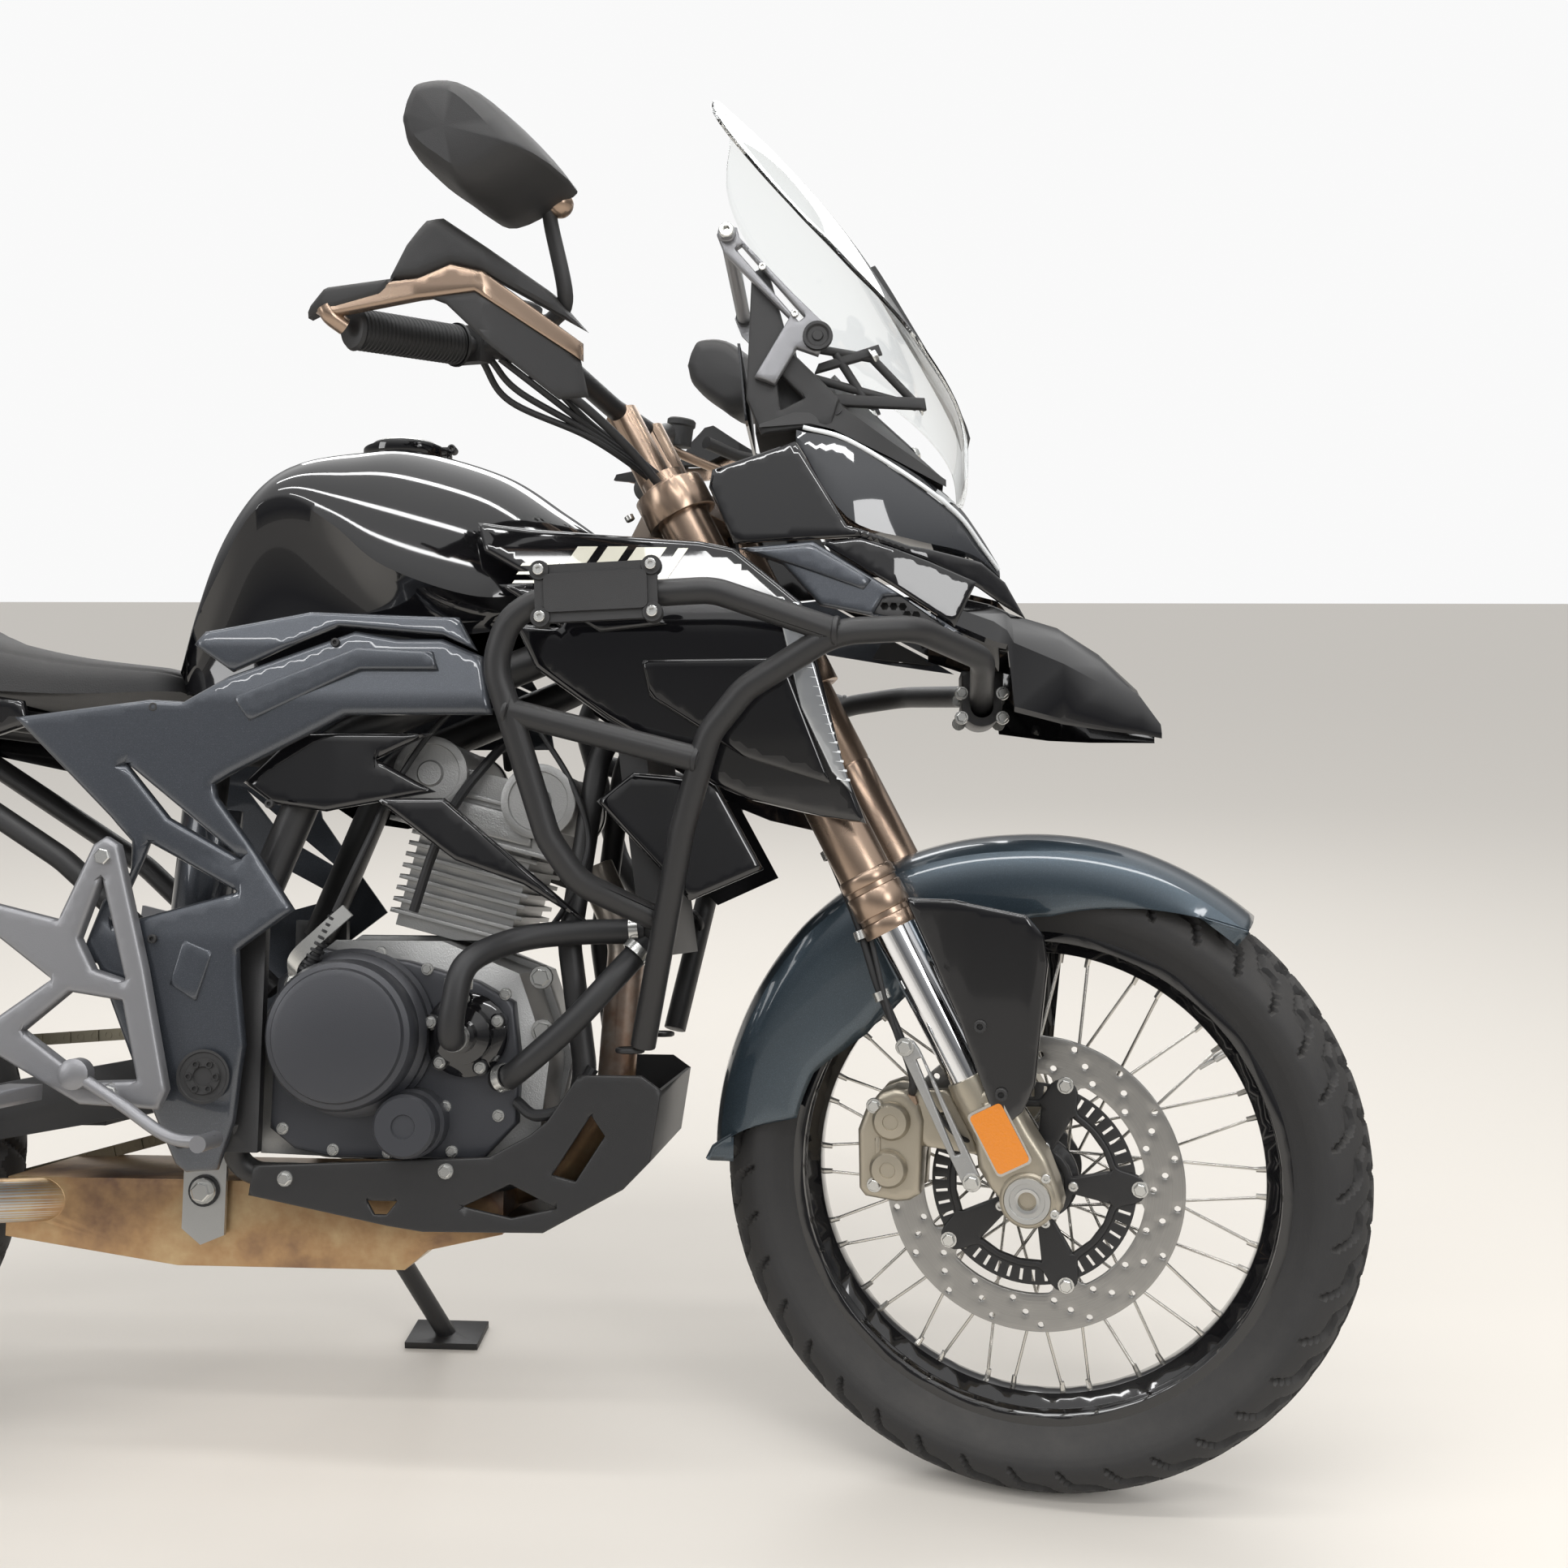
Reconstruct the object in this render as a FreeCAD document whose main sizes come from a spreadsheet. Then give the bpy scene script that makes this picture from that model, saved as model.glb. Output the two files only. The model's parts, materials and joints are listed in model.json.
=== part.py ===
import FreeCAD, Part
import math
import os
import re
import Sketcher
from FreeCAD import Placement, Rotation, Vector

# Adventure motorcycle, millimetres. It is drawn upright, +X forward, +Y to its left, +Z up,
# with X = 0 above the rear tyre's ground point, and then leaned onto its side stand.

SIZES = {
    # Stance
    "wheelbase": 1410, "rake": 27.5, "trail": 120, "lean": 13, "steer": 12,
    # Front wheel
    "front_radius": 329.3, "front_crown": 58, "front_width": 110, "front_bead": 246,
    "front_rim_width": 72, "front_disc_radius": 149, "front_disc_side": 53,
    # Rear wheel
    "rear_radius": 318, "rear_crown": 68, "rear_width": 130, "rear_bead": 221,
    "rear_rim_width": 96, "rear_disc_radius": 120, "rear_disc_side": 62,
    # Wheel details
    "rim_wall": 4, "rim_well": 14, "spoke_pairs": 18, "spoke_size": 3.6, "disc_thickness": 5,
    "axle_radius": 10, "axle_bore": 7, "bearing_play": 0.05, "seat_gap": 0.3,
    # Fork
    "leg_spacing": 96, "inner_tube": 20.5, "outer_tube": 27, "outer_start": 290, "outer_end": 800,
    "stem_radius": 15, "head_radius": 32, "head_low": 955, "head_high": 1105,
    # Frame
    "frame_tube": 18, "plate": 6, "pivot_x": 586, "pivot_z": 427, "pivot_radius": 9,
    "bar_tube": 12.5, "panel": 4, "rack_height": 975, "rack_bolt": 4.5,
    # Bodywork
    "tank_half": 150, "seat_half": 140,
}

doc = FreeCAD.newDocument("adventure_motorcycle")
sheet = doc.addObject("Spreadsheet::Sheet", "Sizes")
for row, (alias, number) in enumerate(SIZES.items(), 1):
    sheet.set("A%d" % row, alias)
    sheet.set("B%d" % row, str(number))
    sheet.setAlias("B%d" % row, alias)
doc.recompute()
nodes = []


def size(alias):
    """A driving size, read from the sheet."""
    return float(sheet.get(alias))


def formula(text):
    """The expression with each alias pointing at the sheet."""
    return re.sub(r"[a-z]\w*", lambda word: "Sizes." + word.group() if word.group() in SIZES else word.group(), text)


def bind(item, field, text):
    """Bind one property to an expression or set it to a plain number."""
    item.setExpression(field, formula(str(text)))


def amount(item, text):
    """The present value of an expression."""
    return float(item.evalExpression(formula(str(text))))


def origin_plane(body, role):
    return [face for face in body.Origin.OriginFeatures if face.Role == role][0]


def outline(body, name, role, points, lift=0):
    """Closed outline of straight edges on one of the body's own planes."""
    item = body.newObject("Sketcher::SketchObject", name)
    item.AttachmentSupport = [(origin_plane(body, role), "")]
    item.MapMode = "FlatFace"
    bind(item, "AttachmentOffset.Base.z", lift)
    corners = [Vector(amount(item, u), amount(item, v), 0) for u, v in points]
    count = len(corners)
    item.addGeometry([Part.LineSegment(corners[i], corners[(i + 1) % count]) for i in range(count)], False)
    item.addConstraint([Sketcher.Constraint("Coincident", i, 2, (i + 1) % count, 1) for i in range(count)])
    for i, (u, v) in enumerate(points):
        for kind, value, start in (("DistanceX", u, corners[i].x), ("DistanceY", v, corners[i].y)):
            index = item.addConstraint(Sketcher.Constraint(kind, -1, 1, i, 1, start))
            if isinstance(value, str):
                bind(item, "Constraints[%d]" % index, value)
    return item


def turned(name, profile):
    """Ring or boss turned about the Y axis from a profile of (radius, side) points."""
    body = doc.addObject("PartDesign::Body", name)
    shape = outline(body, name + "_profile", "XY_Plane", profile)
    ring = body.newObject("PartDesign::Revolution", name + "_turn")
    ring.Profile = shape
    ring.ReferenceAxis = (shape, ["V_Axis"])
    ring.Angle = 360
    return body


def plate(name, points, side, thickness, through=False):
    """Plate cut to an outline in side view, its outer face at the given distance to the right."""
    body = doc.addObject("PartDesign::Body", name)
    lift = 0 if through else "%s - (%s)" % (side, thickness)
    shape = outline(body, name + "_outline", "XZ_Plane", points, lift)
    block = body.newObject("PartDesign::Pad", name + "_pad")
    block.Profile = shape
    bind(block, "Length", thickness)
    block.Midplane = through
    return body


def lofted(name, role, stations, ruled=True):
    """Solid through closed outlines at stations along the plane's normal."""
    body = doc.addObject("PartDesign::Body", name)
    shapes = [outline(body, "%s_station_%d" % (name, i), role, points, lift)
              for i, (lift, points) in enumerate(stations)]
    skin = body.newObject("PartDesign::AdditiveLoft", name + "_loft")
    skin.Profile = shapes[0]
    skin.Sections = shapes[1:]
    skin.Ruled = ruled
    return body


def mirrored_section(half):
    """Full section from its right half, listed from the bottom to the top."""
    return [(-float(y), z) for y, z in half] + [(float(y), z) for y, z in reversed(half)]


def solid(name, shape):
    """A computed shape with its place worked into its geometry."""
    item = doc.addObject("Part::Feature", name)
    item.Shape = settled(shape)
    return item


def settled(shape):
    place = shape.Placement.toMatrix()
    plain = shape.copy()
    plain.Placement = Placement()
    plain.transformShape(place, True)
    return plain


def bar(start, end, radius):
    """Round bar between two points."""
    run = Vector(*end) - Vector(*start)
    return Part.makeCylinder(radius, run.Length, Vector(*start), run)


def bent_tube(points, radius, bend):
    """Round tube of straight runs joined by tangent arcs."""
    knots = [Vector(*point) for point in points]
    parts = []
    here = knots[0]
    for before, corner, after in zip(knots, knots[1:], knots[2:]):
        back = (before - corner).normalize()
        ahead = (after - corner).normalize()
        half = back.getAngle(ahead) / 2
        reach = min(bend / math.tan(half), 0.45 * before.distanceToPoint(corner), 0.45 * after.distanceToPoint(corner))
        enter = corner + back * reach
        centre = corner + (back + ahead).normalize() * (reach / math.cos(half))
        parts.append(bar(here, enter, radius))
        ring = Part.Face(Part.Wire(Part.makeCircle(radius, enter, back)))
        parts.append(ring.revolve(centre, ahead.cross(back), 180 - math.degrees(2 * half)))
        here = corner + ahead * reach
    parts.append(bar(here, knots[-1], radius))
    return parts[0].multiFuse(parts[1:])


def joined(shapes):
    return shapes[0].multiFuse(shapes[1:]) if len(shapes) > 1 else shapes[0]


def mirror(item):
    """The same piece on the left side."""
    copy = doc.addObject("Part::Mirroring", item.Name + "_left")
    copy.Source = item
    copy.Base = Vector(0, 0, 0)
    copy.Normal = Vector(0, 1, 0)
    return copy


def group(name, items):
    """Pieces of one node that don't touch."""
    node = doc.addObject("Part::Compound", name)
    node.Links = items
    return node


def fused(name, items):
    """Pieces of one node that are joined."""
    node = doc.addObject("Part::MultiFuse", name)
    node.Shapes = items
    return node


def trimmed(name, base, tool):
    node = doc.addObject("Part::Cut", name)
    node.Base = base
    node.Tool = tool
    return node


def add_node(label, item, place):
    """Register a sub-part with its file name and its place on the parked machine."""
    item.Label = label
    nodes.append((label, item, place))


# Parked stance

def lowest(centre, normal, radius, crown):
    """Lowest height of a tyre with a round crown."""
    return centre.z - (radius - crown) * math.sqrt(1 - normal.z ** 2) - crown


def steering():
    """The turn of the fork about the steering axis."""
    rake = math.radians(size("rake"))
    axis = Vector(-math.sin(rake), 0, math.cos(rake))
    foot = Vector(size("wheelbase") + size("trail"), 0, 0)
    turn = Rotation(axis, -size("steer"))
    return Placement(foot - turn.multVec(foot), turn)


def parked():
    """Lean, pitch and lift that set both tyres on the floor."""
    front = steering()
    front_centre = front.multVec(Vector(size("wheelbase"), 0, size("front_radius")))
    front_normal = front.Rotation.multVec(Vector(0, 1, 0))
    rear_centre = Vector(0, 0, size("rear_radius"))
    pitch = 0.0
    for _ in range(20):
        turn = Rotation(Vector(0, 1, 0), pitch).multiply(Rotation(Vector(1, 0, 0), -size("lean")))
        high = lowest(turn.multVec(front_centre), turn.multVec(front_normal), size("front_radius"), size("front_crown"))
        low = lowest(turn.multVec(rear_centre), turn.multVec(Vector(0, 1, 0)), size("rear_radius"), size("rear_crown"))
        pitch += math.degrees(math.atan2(high - low, size("wheelbase")))
    return Placement(Vector(0, 0, -low), turn)


PARK = parked()
FORK = PARK.multiply(steering())
AXLE = Vector(size("wheelbase"), 0, size("front_radius"))
HUB = Vector(0, 0, size("rear_radius"))
RAKE = math.radians(size("rake"))


def on_leg(length, side=0, ahead=0):
    """Point on the fork, measured up the leg from the axle, to the side and square ahead of it."""
    return Vector(AXLE.x - length * math.sin(RAKE) + ahead * math.cos(RAKE), side,
                  AXLE.z + length * math.cos(RAKE) + ahead * math.sin(RAKE))


def on_stem(height, ahead=0):
    """Point of the steering axis at a distance along it from the ground."""
    foot = size("wheelbase") + size("trail")
    return Vector(foot - height * math.sin(RAKE) + ahead * math.cos(RAKE), 0,
                  height * math.cos(RAKE) + ahead * math.sin(RAKE))


# Wheels

def tyre(end):
    """Tyre with a round crown, its flanks running down to the beads."""
    body = doc.addObject("PartDesign::Body", end + "_tyre")
    radius, crown, bead = size(end + "_radius"), size(end + "_crown"), size(end + "_bead")
    half_rim = size(end + "_rim_width") / 2
    shoulder = math.asin(size(end + "_width") / 2 / crown * 0.985)
    top = radius - crown + crown * math.cos(shoulder)
    side = crown * math.sin(shoulder)
    flank = [(top, side), ((top + bead) / 2 - 3, side * 0.97), (bead + 9.6, half_rim - 5), (bead, half_rim - 5)]
    points = [Vector(r, y, 0) for r, y in flank] + [Vector(r, -y, 0) for r, y in reversed(flank)]
    shape = body.newObject("Sketcher::SketchObject", end + "_tyre_profile")
    shape.AttachmentSupport = [(origin_plane(body, "XY_Plane"), "")]
    shape.MapMode = "FlatFace"
    edges = [Part.LineSegment(a, b) for a, b in zip(points, points[1:])]
    edges.append(Part.Arc(points[-1], Vector(radius, 0, 0), points[0]))
    shape.addGeometry(edges, False)
    ring = body.newObject("PartDesign::Revolution", end + "_tyre_turn")
    ring.Profile = shape
    ring.ReferenceAxis = (shape, ["V_Axis"])
    ring.Angle = 360
    return body


def rim(end):
    """Spoked rim: flanges, bead seats and a dropped well."""
    seat = "%s_bead - seat_gap" % end
    half = "%s_rim_width / 2" % end
    outer = [("%s + 9" % seat, "%s - 1" % half), ("%s + 9" % seat, "%s - 4.7" % half),
             (seat, "%s - 4.7" % half), (seat, "%s * 0.42" % half),
             ("%s - rim_well" % seat, "%s * 0.3" % half)]
    inner = [("%s - rim_well - rim_wall" % seat, "%s * 0.26" % half), ("%s - rim_wall - 1" % seat, "%s * 0.5" % half),
             ("%s - rim_wall" % seat, "%s - 1" % half)]
    edge = outer + [(r, "-(%s)" % y) for r, y in reversed(outer)]
    edge += [(r, "-(%s)" % y) for r, y in inner] + list(reversed(inner))
    edge = [outer[0]] + outer[1:] + [(r, "-(%s)" % y) for r, y in reversed(outer)]
    edge += [(r, "-(%s)" % y) for r, y in reversed(inner)] + inner
    return turned(end + "_rim", edge)


def spokes(end, flange_radius, flange_side):
    """Crossed pairs of spokes from the hub flanges to the rim's well."""
    outer = size(end + "_bead") - size("rim_well") - size("rim_wall") - size("seat_gap") - 1
    bars = []
    pairs = int(size("spoke_pairs"))
    for index in range(pairs):
        for hand in (1, -1):
            side = flange_side if index % 2 else -flange_side
            root = math.radians(index * 360 / pairs + hand * 40)
            tip = math.radians(index * 360 / pairs + hand * 3.5)
            start = Vector(flange_radius * math.cos(root), side, flange_radius * math.sin(root))
            finish = Vector(outer * math.cos(tip), side * 0.12, outer * math.sin(tip))
            run = finish - start
            bars.append((start, run))
    return [hex_bar(start, run, size("spoke_size") / 2) for start, run in bars]


def hex_bar(start, run, radius):
    """Six-sided bar, a round rod with few faces."""
    side = run.cross(Vector(0, 1, 0)).normalize() * radius
    corners = [start + Rotation(run, 60 * i).multVec(side) for i in range(7)]
    return Part.Face(Part.makePolygon(corners)).extrude(run)


def hub(end, half, barrel, flange, bore):
    """Turned hub with two spoke flanges and a through bore for the axle."""
    profile = [(bore, -half), (barrel, -half), (barrel, -half * 0.62), (flange, -half * 0.55),
               (flange, -half * 0.42), (barrel * 0.8, -half * 0.3), (barrel * 0.8, half * 0.3),
               (flange, half * 0.42), (flange, half * 0.55), (barrel, half * 0.62), (barrel, half), (bore, half)]
    return turned(end + "_hub_body", profile)


def front_wheel():
    bore = "axle_radius + bearing_play"
    body = hub("front", 55, 30, 44, bore)
    place = FORK.multiply(Placement(AXLE, Rotation()))
    add_node("front_tyre", tyre("front"), place)
    add_node("front_rim", rim("front"), place)
    lace = solid("front_spokes", joined(spokes("front", 43, 27)))
    add_node("front_hub", fused("front_hub_laced", [body, lace]), place)
    add_node("front_disc", disc("front", 118, 31), place)


def disc(end, inner, hole):
    """Brake disc with its carrier, turned as one ring beside the hub."""
    side = "-%s_disc_side" % end
    return turned(end + "_disc", [(hole, side + " - disc_thickness / 2"),
                                  ("%s_disc_radius" % end, side + " - disc_thickness / 2"),
                                  ("%s_disc_radius" % end, side + " + disc_thickness / 2"),
                                  (hole, side + " + disc_thickness / 2")])


def rear_wheel():
    bore = "axle_radius + bearing_play"
    place = PARK.multiply(Placement(HUB, Rotation()))
    body = hub("rear", 66, 34, 52, bore)
    lace = solid("rear_spokes", joined(spokes("rear", 51, 30)))
    add_node("rear_tyre", tyre("rear"), place)
    add_node("rear_rim", rim("rear"), place)
    add_node("rear_hub", fused("rear_hub_laced", [body, lace]), place)
    add_node("rear_disc", disc("rear", 90, 35), place)
    add_node("rear_sprocket", turned("rear_sprocket", [(35, 73), (106, 73), (106, 79), (35, 79)]), place)


# Fork and steering

def fork():
    half = size("leg_spacing")
    legs = []
    tubes = []
    for side in (-half, half):
        inner = bar(on_leg(60, side), on_leg(size("outer_start") + 60, side), size("inner_tube"))
        foot = bar(on_leg(-38, side), on_leg(120, side), 26)
        boss = Part.makeCylinder(30, 30, Vector(AXLE.x, side - 15, AXLE.z), Vector(0, 1, 0))
        legs.append(joined([inner, foot, boss]))
        outer = bar(on_leg(size("outer_start"), side), on_leg(size("outer_end"), side), size("outer_tube"))
        collar = bar(on_leg(size("outer_start"), side), on_leg(size("outer_start") + 60, side), size("outer_tube") + 2)
        tubes.append(joined([outer, collar]).cut(inner))
    axle = Part.makeCylinder(size("axle_radius"), 2 * half + 16, Vector(AXLE.x, -half - 8, AXLE.z), Vector(0, 1, 0))
    sleeves = [Part.makeCylinder(16, 20, Vector(AXLE.x, side, AXLE.z), Vector(0, 1, 0)) for side in (-78, 58)]
    bore = Part.makeCylinder(size("axle_bore"), 2 * half + 60, Vector(AXLE.x, -half - 30, AXLE.z), Vector(0, 1, 0))
    add_node("fork_legs", solid("fork_legs", joined(legs + [axle] + sleeves).cut(bore)), FORK)
    add_node("fork_tubes", solid("fork_tubes", Part.makeCompound(tubes)), FORK)


def clamps():
    """Lower and upper clamps round the fork tubes, on the steering stem."""
    half = size("leg_spacing")
    low, high = size("head_low") - 3, size("head_high") + 3
    parts = [bar(on_stem(low - 30), on_stem(high + 40), size("stem_radius"))]
    offset = size("front_radius") * math.sin(RAKE) - size("trail") * math.cos(RAKE)
    for start, end in ((low - 36, low), (high, high + 34)):
        edge = [(-30, -22), (offset - 25, -half), (offset + 22, -half), (offset + 22, half), (offset - 25, half), (-30, 22)]
        corners = [Vector(x, y, start) for x, y in edge + edge[:1]]
        bridge = Part.Face(Part.makePolygon(corners)).extrude(Vector(0, 0, end - start))
        eyes = [Part.makeCylinder(size("outer_tube") + 10, end - start, Vector(offset, side, start))
                for side in (-half, half)]
        head = joined([bridge] + eyes)
        head.Placement = Placement(on_stem(0), Rotation(Vector(0, 1, 0), -size("rake")))
        parts.append(head)
    holes = [bar(on_leg(size("outer_start"), side), on_leg(size("outer_end") + 60, side), size("outer_tube"))
             for side in (-half, half)]
    add_node("triple_clamps", solid("triple_clamps", joined(parts).cut(Part.makeCompound(holes))), FORK)


def handlebar():
    """Wide bar with grips on two risers above the upper clamp."""
    right = [(853, -403, 1131), (905, -300, 1140), (950, -190, 1160), (974, -70, 1129)]
    left = [(x, -y, z) for x, y, z in reversed(right)]
    tube = bent_tube(right + left, 11, 60)
    grips = [bar((x1, s * y1, z1), (x2, s * y2, z2), 17) for s in (1, -1)
             for x1, y1, z1, x2, y2, z2 in ((905, -300, 1140, 853, -403, 1131),)]
    risers = [bar(on_stem(size("head_high") + 37.3, 28) + Vector(0, side, 0), on_stem(1258, 28) + Vector(0, side, 0), 18)
              for side in (-45, 45)]
    add_node("handlebar", solid("handlebar", joined([tube] + grips + risers)), FORK)


def handguards():
    points = [(828, 1152), (930, 1161), (979, 1171), (1040, 1123), (1039, 1075), (985, 1110), (935, 1140), (830, 1140)]
    piece = plate("handguard", points, 428, 14)
    shield = plate("guard_shield", [(903, 1163), (941, 1210), (966, 1200), (1034, 1135), (985, 1172)], 422, 8)
    add_node("handguards", group("handguard_pair", [fused("handguard_right", [piece, shield]),
                                                    mirror(fused("handguard_copy", [piece, shield]))]), FORK)


def mirrors():
    shell = plate("mirror_shell", [(921, 1287), (942, 1321), (987, 1312), (1046, 1253), (1044, 1238), (993, 1216),
                                   (930, 1259)], 440, 80)
    stalk = solid("mirror_stalk", joined([bar((1019, -385, 1240), (1000, -300, 1150), 7)]))
    head = fused("mirror_right", [shell, stalk])
    add_node("mirrors", group("mirror_pair", [head, mirror(head)]), FORK)


def front_mudguard():
    """Narrow mudguard round the tyre, from the fork to both ends."""
    outer = [(1068, 346), (1086, 452), (1130, 552), (1185, 615), (1225, 645), (1288, 660), (1352, 672), (1455, 678),
             (1545, 655), (1625, 606)]
    clear = 10
    inner = []
    for x, z in reversed(outer):
        reach = Vector(x - AXLE.x, 0, z - AXLE.z)
        inner.append((x - 4 * reach.x / reach.Length, z - 4 * reach.z / reach.Length))
    body = plate("mudguard_blank", outer + inner, 0, 2 * (size("leg_spacing") - size("outer_tube") - 3), True)
    add_node("front_mudguard", body, FORK)


def fork_guards():
    points = [(1289, 615), (1410, 600), (1430, 555), (1418, 441), (1386, 395), (1300, 590)]
    piece = plate("fork_guard", points, 132, 5)
    add_node("fork_guards", group("fork_guard_pair", [piece, mirror(piece)]), FORK)


def front_caliper():
    """Caliper straddling the disc behind the right leg."""
    block = Part.makeBox(62, 52, 110, Vector(-31, -26, -55))
    slot = Part.makeBox(64, 13, 112, Vector(-1000, -6.5, -56))
    block.Placement = Placement(Vector(1262, -size("front_disc_side") - 6, 330), Rotation(Vector(0, 1, 0), -12))
    ring = Part.makeCylinder(size("front_disc_radius") + 6, size("disc_thickness") + 8,
                             Vector(AXLE.x, -size("front_disc_side") - size("disc_thickness") / 2 - 4, AXLE.z), Vector(0, 1, 0))
    add_node("front_caliper", solid("front_caliper", block.cut(ring)), FORK)


# Frame

def main_frame():
    """Steering head, twin spars and the plates that carry the swingarm."""
    head = bar(on_stem(size("head_low")), on_stem(size("head_high")), size("head_radius"))
    hole = bar(on_stem(size("head_low") - 50), on_stem(size("head_high") + 50), size("stem_radius") + size("bearing_play"))
    parts = [head]
    for s in (-1, 1):
        parts.append(bent_tube([(1030, s * 12, 930), (900, s * 105, 850), (680, s * 112, 760), (600, s * 112, 560)],
                               size("frame_tube"), 80))
        parts.append(bent_tube([(1052, s * 12, 880), (955, s * 80, 760), (930, s * 95, 560), (952, s * 100, 420),
                                 (904, s * 100, 323), (600, s * 100, 325), (600, s * 124, 380)], 12, 80))
        parts.append(Part.makeBox(60, 12, 230, Vector(570, s * 124 - 6, 350)))
    parts += stand_tang()
    eye = [Part.makeCylinder(28, 12, Vector(size("pivot_x"), s * 124 - 6, size("pivot_z")), Vector(0, 1, 0)) for s in (-1, 1)]
    shaft = Part.makeCylinder(size("pivot_radius"), 300, Vector(size("pivot_x"), -150, size("pivot_z")), Vector(0, 1, 0))
    add_node("main_frame", solid("main_frame", joined(parts + eye).cut(hole).cut(shaft)), PARK)


def subframe():
    """Rear tubes and the luggage rack."""
    parts = []
    for s in (-1, 1):
        parts.append(bent_tube([(640, s * 90, 760), (420, s * 95, 775), (100, s * 95, 815), (-330, s * 90, 885)], 12, 120))
        parts.append(bent_tube([(560, s * 88, 500), (400, s * 95, 640), (120, s * 95, 815)], 12, 120))
    parts.append(bar((-330, -90, 885), (-330, 90, 885), 12))
    parts.append(bar((100, -95, 815), (100, 95, 815), 12))
    top = size("rack_height")
    posts = [bar((x, s * 70, 880), (x, s * 70, top - 4), 9) for x in (-330,) for s in (-1, 1)]
    plate_top = Part.makeBox(190, 170, 8, Vector(-410, -85, top - 8))
    holes = [Part.makeCylinder(size("rack_bolt"), 20, Vector(x, s * 60, top - 14)) for x in (-385, -245) for s in (-1, 1)]
    slots = Part.makeBox(90, 70, 20, Vector(-360, -35, top - 14))
    rack = joined(posts + [plate_top]).cut(Part.makeCompound(holes + [slots]))
    add_node("subframe", solid("subframe", joined(parts + [rack])), PARK)


def swingarm():
    """Twin-spar rear fork on the pivot tube, open at the ends for the axle."""
    parts = []
    for s in (-1, 1):
        arm = Part.makeBox(640, 26, 56, Vector(-40, -13, -28))
        rise = math.degrees(math.atan2(size("pivot_z") - HUB.z, size("pivot_x")))
        arm.Placement = Placement(Vector(0, s * 98, HUB.z), Rotation(Vector(0, 1, 0), -rise))
        parts.append(arm)
    parts.append(Part.makeBox(60, 196, 50, Vector(400, -98, 370)))
    parts.append(Part.makeCylinder(26, 210, Vector(size("pivot_x"), -105, size("pivot_z")), Vector(0, 1, 0)))
    pivot = Part.makeCylinder(size("pivot_radius"), 300, Vector(size("pivot_x"), -150, size("pivot_z")), Vector(0, 1, 0))
    shape = joined(parts)
    axle = Part.makeCylinder(size("axle_radius"), 222, Vector(0, -111, HUB.z), Vector(0, 1, 0))
    add_node("swingarm", solid("swingarm", joined([shape, axle, pivot])), PARK)


def rear_shock():
    parts = [bar((500, 0, 470), (520, 0, 760), 14), bar((505, 0, 530), (516, 0, 700), 32)]
    add_node("rear_shock", solid("rear_shock", joined(parts)), PARK)


# Engine

def engine():
    case = plate("crankcase_block", [(620, 345), (850, 338), (905, 372), (912, 440), (880, 528), (800, 560), (690, 560),
                                     (640, 520), (618, 480)], 0, 190, True)
    add_node("crankcase", case, PARK)
    tilt = Rotation(Vector(0, 1, 0), 14)
    block = Part.makeBox(120, 130, 105, Vector(-60, -65, 0))
    head = Part.makeBox(170, 170, 70, Vector(-85, -85, 105))
    cams = [Part.makeCylinder(37, 190, Vector(x, -95, 160), Vector(0, 1, 0)) for x in (-58, 58)]
    top = joined([block, head] + cams)
    top.Placement = Placement(Vector(800, 0, 562), tilt)
    below = Part.makeBox(600, 400, 400, Vector(500, -200, 160.5))
    add_node("cylinder_head", solid("cylinder_head", top.cut(below)), PARK)
    clutch = Part.makeCylinder(76, 77, Vector(714, -95.3, 450), Vector(0, -1, 0))
    filter_cover = Part.makeCylinder(31, 65, Vector(790, -95.3, 378), Vector(0, -1, 0))
    pump = Part.makeCylinder(34, 61, Vector(833, -95.3, 468), Vector(0, -1, 0))
    generator = Part.makeCylinder(70, 40, Vector(760, 95.3, 440), Vector(0, 1, 0))
    add_node("engine_covers", solid("engine_covers", Part.makeCompound([joined([clutch, filter_cover, pump]), generator])), PARK)


def radiator():
    box = Part.makeBox(28, 250, 220, Vector(0, -125, 0))
    box.Placement = Placement(Vector(1010, 0, 545), Rotation(Vector(0, 1, 0), -8))
    add_node("radiator", solid("radiator", box), PARK)


def exhaust():
    """Collector box under the engine, header pipe and the silencer on the right."""
    box = plate("exhaust_box", [(351, 255), (533, 229), (767, 229), (790, 249), (866, 266), (866, 315), (351, 315)], 0, 160, True)
    header = solid("header", bent_tube([(938, 0, 640), (975, 0, 560), (965, 0, 400), (915, 0, 318), (820, 0, 290)], 20, 60))
    silencer = solid("silencer", joined([bent_tube([(400, -60, 290), (330, -150, 300), (250, -180, 335)], 22, 60),
                                         bar((290, -172, 318), (-120, -195, 470), 55)]))
    add_node("exhaust", fused("exhaust_line", [box, header, silencer]), PARK)


def skid_plate():
    points = [(627, 338), (862, 350), (902, 372), (919, 386), (949, 431), (1011, 431), (1031, 417), (1021, 348),
              (995, 321), (917, 278), (850, 300), (800, 322), (623, 322)]
    piece = plate("skid_side", points, 133, 4)
    front = plate("skid_front", [(1031, 417), (1021, 348), (995, 321), (917, 278), (913, 282), (991, 325), (1017, 350),
                                 (1027, 417)], 0, 260, True)
    add_node("skid_plate", fused("skid_pan", [piece, mirror(piece), front]), PARK)


# Bodywork

CAP = Vector(720, 0, 1096)
CAP_RADIUS = 40
CAP_HINGE = Vector(770, 0, 1101)


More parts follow.
